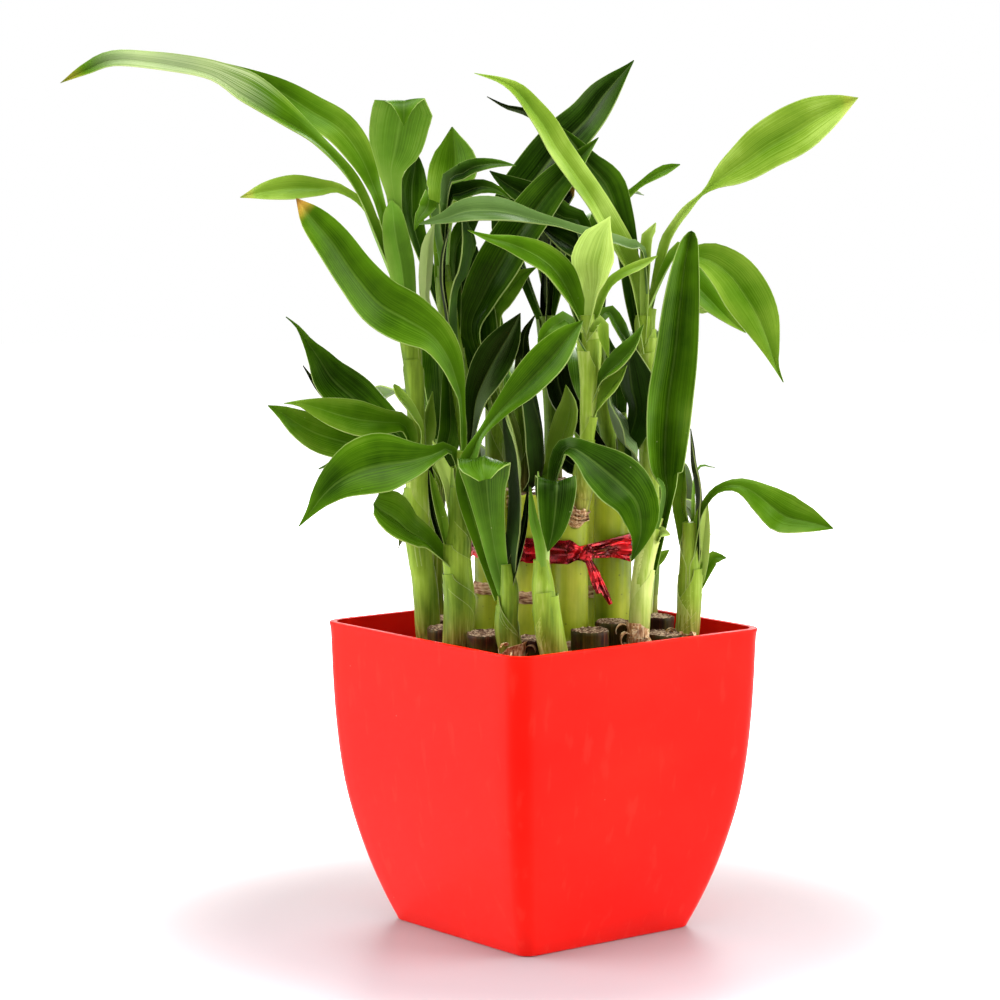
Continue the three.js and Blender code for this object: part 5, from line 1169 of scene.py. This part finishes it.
            arch((15, 44, 146), 62, 60, 28, 28, 17, (0, 0), 0.35),
            arch((15, 44, 152), 96, 44, 46, 12, 15, (0, 0), 0.5),
            arch((14, 44, 132), 82, 58, 12, 34, 15, (0, 0), 0.3),
        ],
    },
    "shoot_back_right": {
        "stem": [(33, 26, 92), (36, 28.5, 98), (37, 29, 120), (37, 30, 145), (36, 30, 170)],
        "radii": [2.4, 3.6, 3.4, 3, 2.4], "tone": 0.42,
        "leaves": [
            arch((36, 30, 154), 66, 46, 40, 16, 16, (10, 20), 0.45),
            arch((36, 30, 164), 96, 36, 38, 8, 15, (0, 0), 0.35),
            arch((37, 30, 140), 70, 56, 16, 32, 15, (0, 0), 0.3),
            arch((37, 30, 132), 56, 42, 14, 22, 12, (20, 30), 0.4),
        ],
    },
}
bladeShape = {
    "thickness": 0.42, "tipWidth": 0.3, "spineWidth": 0.7, "stationLength": 2.6, "fewestStations": 14,
    "broad": 9, "broadSheet": 12, "narrowSheet": 8,
    "wave": 0.045, "gutter": 12, "clasp": 26, "footFold": 32, "lumps": 0.2, "curlSteps": 6,
    "fullBreadth": 6, "fullThickness": 4.5, "thinnest": 0.12,
}


def bendBlade(leaf, name, rng):
    at, heading, share, reach = smoothLine([point[:3] for point in leaf["spine"]])
    widthAt = smoothLine([(point[3], 0, 0) for point in leaf["spine"]])[0]
    widest = max(point[3] for point in leaf["spine"])
    first, last = Vector(leaf["spine"][0][:3]), Vector(leaf["spine"][-1][:3])
    outward = Vector((last.x - first.x, last.y - first.y, 0)).normalized()
    sideways = Vector((-outward.y, outward.x, 0))
    across = bladeShape["broadSheet"] if widest > bladeShape["broad"] else bladeShape["narrowSheet"]
    along = max(bladeShape["fewestStations"], int(reach / bladeShape["stationLength"]))
    phase, otherPhase = rng.uniform(0, fullTurn), rng.uniform(0, fullTurn)
    waves = rng.uniform(1.3, 2.2)
    swing = widest * bladeShape["wave"] * rng.uniform(0.5, 1.3)
    gutter = bladeShape["gutter"] * min(leaf["fold"] / usualFold, 1)
    thinner = bladeShape["spineWidth"] - bladeShape["tipWidth"]
    rows = {}

    def row(v):
        t = share(v)
        p, ahead = at(t), heading(t)
        side = (sideways - ahead * sideways.dot(ahead)).normalized()
        face = ahead.cross(side)
        turn = math.radians(leaf["roll"][0] + (leaf["roll"][1] - leaf["roll"][0]) * v)
        s = side * math.cos(turn) + face * math.sin(turn)
        n = face * math.cos(turn) - side * math.sin(turn)
        lift = leaf["fold"] + bladeShape["footFold"] * (1 - v) ** 3
        # From the midrib the blade rises steeply and then flattens; at its foot it curls round the stem
        change = gutter - (gutter + bladeShape["clasp"]) * (1 - v) ** 3
        width = max(widthAt(t).x, bladeShape["spineWidth"]) - thinner * ease(v, 0.85, 1)
        return p, s, n, width / 2, lift, change

    def place(x, v):
        key = round(v * along)
        if key not in rows:
            rows[key] = row(v)
        p, s, n, half, lift, change = rows[key]
        c = 1 - 2 * x
        w = abs(c)
        out = up = 0.0
        steps = bladeShape["curlSteps"]
        for i in range(steps):
            angle = math.radians(lift + change * (1 - 2 * (i + 0.5) / steps * w))
            out += math.cos(angle) * w / steps
            up += math.sin(angle) * w / steps
        grown = ease(v, 0.1, 0.45) * (1 - 0.6 * ease(v, 0.8, 1))
        start = phase if c > 0 else otherPhase
        ripple = swing * w * w * grown * math.sin(waves * fullTurn * v + start)
        spot = p + s * (math.copysign(1, c) * half * out if w > 0 else 0) + n * (half * up + ripple)
        lump = noise.noise(spot * 0.11) * bladeShape["lumps"] * grown
        return turned(spot + n * lump)

    piece = sheet(name, across, along, place)
    setGrowth(piece, lambda index: (leaf["tone"], leaf["tip"], leaf["grey"], leaf["highlightStripe"]))
    halves = [rows[key][3] for key in sorted(rows)]
    perRow = across + 1
    breadths = [min(half / bladeShape["fullBreadth"], 1) for half in halves for count in range(perRow)]
    setBreadth(piece, breadths)
    thinning = piece.vertex_groups.new(name="thinning")  # a blade is thinner where it is narrow
    for number, half in enumerate(halves):
        members = list(range(number * perRow, (number + 1) * perRow))
        thinning.add(members, min(half / bladeShape["fullThickness"], 1), "REPLACE")
    return piece


def stemFrame(stem, t):
    at, heading = stem["line"][:2]
    ahead = heading(t)
    a = (Vector((1, 0, 0)) - ahead * ahead.x).normalized()
    b = ahead.cross(a)
    place = min(max(t, 0), 1) * (len(stem["radii"]) - 1)
    i = min(int(place), len(stem["radii"]) - 2)
    w = place - i
    w = w * w * (3 - 2 * w)
    return at(t), a, b, stem["radii"][i] * (1 - w) + stem["radii"][i + 1] * w


# How dry the foot of a stem is: fully just above its cane, and no more from dryUpTo millimetres on
stemShape = {
    "sides": 18, "stationLength": 1.6, "fewestStations": 12, "flutes": 0.025, "bumps": 0.04,
    "driest": 0.9, "dryFrom": -2, "dryUpTo": 16,
}


def footAge(stem, height):
    above = height - stem["points"][1][2]
    return stemShape["driest"] * (1 - ease(above, stemShape["dryFrom"], stemShape["dryUpTo"]))


# Growth of a sheet that lies round a stem, dry at its foot
def setStemGrowth(piece, stem, tone):
    heights = [(viewTurn.inverted() @ vertex.co).z / mm for vertex in piece.data.vertices]
    setGrowth(piece, lambda index: (tone, footAge(stem, heights[index])))


def makeStem(stem, name):
    along = max(stemShape["fewestStations"], int(stem["line"][3] / stemShape["stationLength"]))

    def place(x, v):
        inner = (v - 0.5) * (1 + 2 / along) + 0.5  # the first and last ring close to a point
        closed = inner <= 0.0001 or inner >= 0.9999
        centre, a, b, radius = stemFrame(stem, min(max(inner, 0), 1))
        if v in (0.0, 1.0):
            return turned(centre)
        angle = x * 2 * math.pi
        fluted = 1 + stemShape["flutes"] * math.sin(3 * angle + 8 * v)
        if not closed:
            fluted += stemShape["bumps"] * noise.noise(centre * 0.2)
        return turned(centre + (a * math.cos(angle) + b * math.sin(angle)) * radius * fluted)

    piece = sheet(name, stemShape["sides"], along, place)
    setStemGrowth(piece, stem, stem["tone"])
    piece.data.materials.append(leafStem)
    return piece


# A sheath wraps the stem from below and opens to one side, where its blade leaves it
def wrapSheath(stem, name, topShare, length, azimuth, flare, tone, dry, rng):
    reach = stem["line"][3]
    lowShare = max(topShare - length / reach, 0.01)
    along = max(8, int(length / 1.2))
    ragged = rng.uniform(0, 50)

    def place(x, v):
        t = lowShare + (topShare - lowShare) * v
        centre, a, b, radius = stemFrame(stem, t)
        c = 2 * x - 1
        extent = math.radians(172 - 128 * ease(v, 0.45, 1))
        angle = azimuth + c * extent
        out = radius + 0.12 + 0.25 * ease(v, 0, 0.3) + flare * v ** 3
        out += 0.35 * math.exp(-(c * extent * 2.4) ** 2) * ease(v, 0.1, 0.6)  # keel
        if dry:
            out += 0.3 * noise.noise(centre * 0.5 + Vector((ragged, x * 4, 0))) * v
        return turned(centre + (a * math.cos(angle) + b * math.sin(angle)) * out)

    piece = sheet(name, 16, along, place)
    setStemGrowth(piece, stem, tone)
    return piece


# A curl of dried husk: a thin strip that springs off the stem and rolls over
def curlHusk(stem, name, share, azimuth, size, rng):
    centre, a, b, radius = stemFrame(stem, share)
    out = a * math.cos(azimuth) + b * math.sin(azimuth)
    along = a * -math.sin(azimuth) + b * math.cos(azimuth)
    start = centre + out * (radius + 0.1)
    lean = rng.uniform(-0.5, 0.5)
    curl = rng.uniform(2.4, 4.2)
    width = size * rng.uniform(0.22, 0.4)

    def place(x, v):
        turn = curl * v
        rise = Vector((0, 0, 1)) * (size * 0.42 * math.sin(turn))
        spot = start + rise + out * size * 0.36 * (1 - math.cos(turn))
        spot += along * (size * lean * v)
        half = width * (0.35 + 0.65 * math.sin(math.pi * min(v + 0.15, 1)) ** 0.7) / 2
        return turned(spot + along * (x - 0.5) * 2 * half + out * 0.25 * noise.noise(spot * 0.9))

    piece = sheet(name, 3, 12, place)
    setGrowth(piece, lambda index: (0.5, 1))
    return piece


shootShape = {
    "sheathLengths": (16, 26), "shortestSheath": 5, "sheathFlare": 0.5, "sheathTones": (-0.12, 0.12),
    "husks": 4, "frontHusks": 3, "huskTone": 0.5,
    # Dry husks stand just above the rim, or above the cane's top on the shoots that start higher
    "rimRise": 14, "caneRise": 9, "lowStart": 120,
    "sheathThickness": 0.3, "huskThickness": 0.18,
}


# A sheath at the foot of each blade, as long as the stem below it allows
def sheathFor(stem, name, leaf, rng):
    at, reach = stem["line"][0], stem["line"][3]
    foot, following = Vector(leaf["spine"][0][:3]), Vector(leaf["spine"][1][:3])
    nearest = min((i / 60 for i in range(61)), key=lambda t: (at(t) - foot).length)
    top = min(max(nearest + 1.5 / reach, 0.12), 0.99)
    centre, a, b, radius = stemFrame(stem, top)
    away = following - centre
    azimuth = math.atan2(away.dot(b), away.dot(a))
    length = min(rng.uniform(*shootShape["sheathLengths"]), (top - 0.02) * reach)
    if length <= shootShape["shortestSheath"]:
        return []
    tone = stem["tone"] + rng.uniform(*shootShape["sheathTones"])
    flare = shootShape["sheathFlare"]
    return [wrapSheath(stem, name + "_sheath", top, length, azimuth, flare, tone, False, rng)]


# Dry husks round the foot of a shoot, most of them to the front, each with a curl
def husksFor(stem, name, rng):
    reach = stem["line"][3]
    low = stem["points"][0][2] < shootShape["lowStart"]
    rise = shootShape["rimRise"] if low else shootShape["caneRise"]
    husks = []
    for count in range(shootShape["husks"]):
        front = count < shootShape["frontHusks"]
        azimuth = math.radians(rng.uniform(200, 340) if front else rng.uniform(0, 360))
        top = (rise + rng.uniform(-2, 4)) / reach
        length = rng.uniform(4, 8)
        flare = rng.uniform(0.8, 2.2)
        tone = shootShape["huskTone"]
        husks.append(wrapSheath(stem, name + "_husk", top, length, azimuth, flare, tone, True, rng))
        share = (rise + rng.uniform(-4, 3)) / reach
        turn = azimuth + rng.uniform(-0.8, 0.8)
        size = rng.uniform(3, 6)
        husks.append(curlHusk(stem, name + "_curl", share, turn, size, rng))
    return husks


# Thin sheets joined and given their thickness
def thicken(sheets, name, materials, thickness, thinning=""):
    if not sheets:
        return []
    for piece in sheets:
        for material in materials:
            piece.data.materials.append(material)
    whole = joinPieces(sheets, name + "_part")
    finishWith(whole, "SOLIDIFY", thickness=thickness * mm, offset=-1, material_offset=1, use_rim=True,
               vertex_group=thinning, thickness_vertex_group=bladeShape["thinnest"])
    return [whole]


def makeShoot(name, shoot):
    rng = random.Random(name)
    stem = {"points": shoot["stem"], "radii": shoot["radii"], "line": smoothLine(shoot["stem"]),
            "tone": shoot["tone"]}
    blades, wraps = [], []
    for number, leaf in enumerate(shoot["leaves"]):
        blades.append(bendBlade(leaf, "%s_blade_%d" % (name, number), rng))
        wraps += sheathFor(stem, name, leaf, rng)
    husks = husksFor(stem, name, rng)
    blades = thicken(blades, name, (leafBlade, leafUnder), bladeShape["thickness"], "thinning")
    wraps = thicken(wraps, name, (leafStem, leafStem), shootShape["sheathThickness"])
    husks = thicken(husks, name, (dryHusk, dryHusk), shootShape["huskThickness"])
    core = makeStem(stem, name + "_core")
    mergeSeams(core)
    whole = joinPieces([core, *blades, *wraps, *husks], name + "_grown")
    smooth(whole, 50)
    return whole


for name, shoot in shoots.items():
    piece = makeShoot(name, shoot)
    standsFor(piece, [name])
    print(name, "is ready,", len(piece.data.polygons), "faces")


# Ribbon: crinkled foil round the inner canes, with a knot, a wing and two tails
foilLook = {
    "low": 126.0, "high": 133.4, "gap": 0.35, "thickness": 0.22, "crinkle": 0.7, "stripCrinkle": 0.5,
    "knot": (14.0, -28.6, 129.2), "knotCrinkle": 0.8, "facets": 150.0,
}

redFoil, tree, shader = newMaterial("redFoil", Metallic=0.8, Roughness=0.22,
                                    Coat_Weight=0.3, Coat_Roughness=0.14)
place = objectPlace(tree)
creases = clouds(tree, place, foilLook["facets"], 2.0, (1, 1, 1.6))
facets = addNode(tree, "ShaderNodeTexVoronoi", {"Vector": place, "Scale": foilLook["facets"]},
                 feature="F1")
sheen = maths(tree, "MULTIPLY_ADD", facets.outputs["Distance"], 0.35, creases)
# The red darkens and brightens with the crumples: painted shade and highlights of the foil's folds
colour = ramp(tree, creases, [(0.15, "380006"), (0.5, "960312"), (0.85, "e2121e")])
finishShader(tree, shader, colour, span(tree, creases, 0.2, 0.9, 0.2, 0.34), sheen, 0.45, 0.4)


def bundleEdge(angle, clear):
    dx, dy = math.cos(angle), math.sin(angle)
    far = max(innerCanes, key=lambda cane: cane[1][0] * dx + cane[1][1] * dy + cane[2])
    return Vector((far[1][0] + (far[2] + clear) * dx, far[1][1] + (far[2] + clear) * dy, 0))


# Crumples of foil: broad dents between sharp ridges
def crinkle(spot, amount):
    broad = noise.noise(spot * 0.2)
    sharp = 0.5 - abs(noise.noise(spot * 0.42 + Vector((5, 1, 7)))) * 2.2
    return (broad * 0.7 + sharp * 0.6) * amount


def makeRibbon():
    knotPlace = Vector(foilLook["knot"])

    def band(x, v):
        angle = x * 2 * math.pi
        edge = bundleEdge(angle, foilLook["gap"])
        # It gathers into the knot, which is at the front
        pull = math.exp(-((edge.x - knotPlace.x) / 3.6) ** 2) if edge.y < -15 else 0
        left = ease(-edge.x, -2, 18)
        low = foilLook["low"] + 0.4 * math.sin(9 * angle + 1) + 1.5 * pull - 0.4 * left
        high = foilLook["high"] + 0.4 * math.sin(7 * angle) - 2.2 * pull + 1.9 * left
        out = Vector((math.cos(angle), math.sin(angle), 0))
        spot = edge + Vector((0, 0, low + (high - low) * v))
        folded = 0.5 + 0.5 * math.sin(v * (8 + 5 * pull) + 2.4 * math.sin(3 * angle))
        return turned(spot + out * (0.35 + folded * 0.75 + crinkle(spot, foilLook["crinkle"])))

    loop = sheet("ribbon_band", 240, 16, band)
    mergeSeams(loop)
    loop.data.flip_normals()

    def strip(name, spine, widths, across, curl, pleat):
        at, heading, _, reach = smoothLine(spine)

        def place(x, v):
            p, t = at(v), heading(v)
            s = (Vector(across) - t * t.dot(Vector(across))).normalized()
            n = t.cross(s)
            i = min(int(v * (len(widths) - 1)), len(widths) - 2)
            w = v * (len(widths) - 1) - i
            half = (widths[i] * (1 - w) + widths[i + 1] * w) / 2
            c = 2 * x - 1
            spot = p + s * c * half + n * (curl * (1 - c * c) + pleat * half * math.sin(5 * c + 1.5 * v))
            return turned(spot + n * crinkle(spot, foilLook["stripCrinkle"]))

        return sheet(name, 14, max(12, int(reach / 0.6)), place)

    # The wing and the tails leave the knot to the right and downward
    wing = [(15, -28.2, 128.6), (18, -25.8, 129), (21.5, -21.6, 129.3), (25.2, -18, 129.2),
            (29, -15.6, 128.8)]
    first = [(14.4, -29, 127.2), (15.9, -30.4, 123.6), (17, -31, 119.6), (18, -31.2, 116.6)]
    second = [(15, -28.8, 127.4), (17.4, -30, 122.4), (20, -30.6, 117), (22, -30.8, 113)]
    parts = [
        loop, strip("ribbon_wing", wing, [1.8, 2.6, 4, 5.6, 7.4], (0, 0, 1), 0.9, 0.28),
        strip("ribbon_tail", first, [1.5, 2.5, 2.4, 1.3], (1, 0, 0.4), 0.5, 0.2),
        strip("ribbon_tail", second, [1.5, 2.5, 2.5, 1.2], (1, 0.2, 0.5), 0.5, 0.2),
    ]
    ribbon = joinPieces(parts, "ribbon_sheets")
    finishWith(ribbon, "SOLIDIFY", thickness=foilLook["thickness"] * mm, offset=0, use_rim=True)

    # The knot is a ball that is pinched in the middle and crumpled
    bpy.ops.object.select_all(action="DESELECT")
    bpy.ops.mesh.primitive_uv_sphere_add(segments=28, ring_count=18, radius=1)
    knot = bpy.context.object
    for vertex in knot.data.vertices:
        spot = vertex.co.copy()
        pinch = 0.7 + 0.3 * abs(spot.x + 0.3) + 0.2 * spot.z * spot.z
        spot = Vector((spot.x * 2.3 + 0.5 * spot.z, spot.y * 1.7 * pinch, spot.z * 3 * pinch))
        spot += spot.normalized() * crinkle(spot * 1.8 + Vector((9, 0, 0)), foilLook["knotCrinkle"])
        vertex.co = turned(spot + knotPlace)
    whole = joinPieces([ribbon, knot], "ribbon_foil")
    whole.data.materials.clear()
    whole.data.materials.append(redFoil)
    smooth(whole, 32)
    return whole


ribbon = makeRibbon()
standsFor(ribbon, ["foil_ribbon"])
print("ribbon is ready")

for grid in grids.values():
    bpy.data.objects.remove(grid)


# Studio: pale floor, white surround, soft boxes to both sides, above and behind
studio = {
    "floor": 3.0, "surround": 0.08, "camera": (-14.1, -1133, 271), "tilt": 83.59, "lens": 123.0,
    "aim": (0, 0, 0.12),
    "lights": [  # name, place in millimetres from the viewer's side, size, watts
        ("leftBox", (-1150, -60, 560), 1.1, 20.5),
        ("rightBox", (1150, -200, 560), 1.1, 23.5),
        ("topBox", (-60, -160, 1300), 0.9, 16.0),
        ("frontBox", (-250, -1250, 900), 1.0, 5.5),
        ("backBox", (200, 1000, 700), 0.9, 12.0),
    ],
}
bpy.ops.object.select_all(action="DESELECT")
bpy.ops.mesh.primitive_circle_add(vertices=96, radius=studio["floor"], fill_type="NGON")
floor = bpy.context.object
floor.name = floor.data.name = "floor"
floorPaint, tree, shader = newMaterial("floorPaint", Roughness=0.5, Specular_IOR_Level=0.2)
place = objectPlace(tree)
cloud = clouds(tree, place, 6.0, 0.6)
away = addNode(tree, "ShaderNodeVectorMath", {0: place}, operation="LENGTH").outputs["Value"]
seen = addNode(tree, "ShaderNodeLightPath").outputs["Is Camera Ray"]
near = maths(tree, "MULTIPLY", seen, span(tree, away, 0.25, 0.09, 0.0, 1.0))
front = viewTurn @ Vector((0, -1, 0))
forward = addNode(tree, "ShaderNodeVectorMath", {0: place, 1: front}, operation="DOT_PRODUCT")
frontSide = span(tree, forward.outputs["Value"], -0.12, 0.12)
# Painted pink reflection of the red pot on the floor in front of it, laid into the floor's colour and its
# glow
paintedPotReflection = maths(tree, "MULTIPLY", span(tree, away, 0.3, 0.06), frontSide)
colour = blend(tree, paintedPotReflection, paint("a8a4a5"), paint("aca3a8"))
colour = blend(tree, near, ramp(tree, cloud, [(0.2, "f3eded"), (0.8, "fbf6f6")]), colour)
finishShader(tree, shader, colour)
far = maths(tree, "MULTIPLY", seen, span(tree, away, 0.09, 0.25, 0.0, 1.0))
paintedReflectionGlow = blend(tree, maths(tree, "MULTIPLY", paintedPotReflection, 0.5), paint("ffffff"), paint("fbe2e5"))
glow = blend(tree, far, paint("000000"), paintedReflectionGlow)
tree.links.new(glow, shader.inputs["Emission Color"])
shader.inputs["Emission Strength"].default_value = 1.0
floor.data.materials.append(floorPaint)

for name, spot, size, watts in studio["lights"]:
    bpy.ops.object.light_add(type="AREA", location=turned(spot))
    lamp = bpy.context.object
    lamp.name = lamp.data.name = name
    lamp.data.size = size
    lamp.data.energy = watts
    lamp.rotation_euler = (Vector(studio["aim"]) - lamp.location).to_track_quat("-Z", "Y").to_euler()

world = bpy.data.worlds.new("surround")
scene.world = world
world.use_nodes = True
tree = world.node_tree
back = tree.nodes["Background"]
back.inputs["Color"].default_value = (1, 1, 1, 1)
seen = addNode(tree, "ShaderNodeLightPath").outputs["Is Camera Ray"]
level = addNode(tree, "ShaderNodeMapRange", {"Value": seen, "To Min": studio["surround"], "To Max": 1.0})
tree.links.new(level.outputs["Result"], back.inputs["Strength"])

bpy.ops.object.camera_add(location=turned(studio["camera"]),
                          rotation=(math.radians(studio["tilt"]), 0, math.radians(turnDegrees)))
camera = bpy.context.object
camera.data.lens = studio["lens"]
camera.data.sensor_width = 36
camera.data.clip_start = 0.01
scene.camera = camera
print("studio is ready")
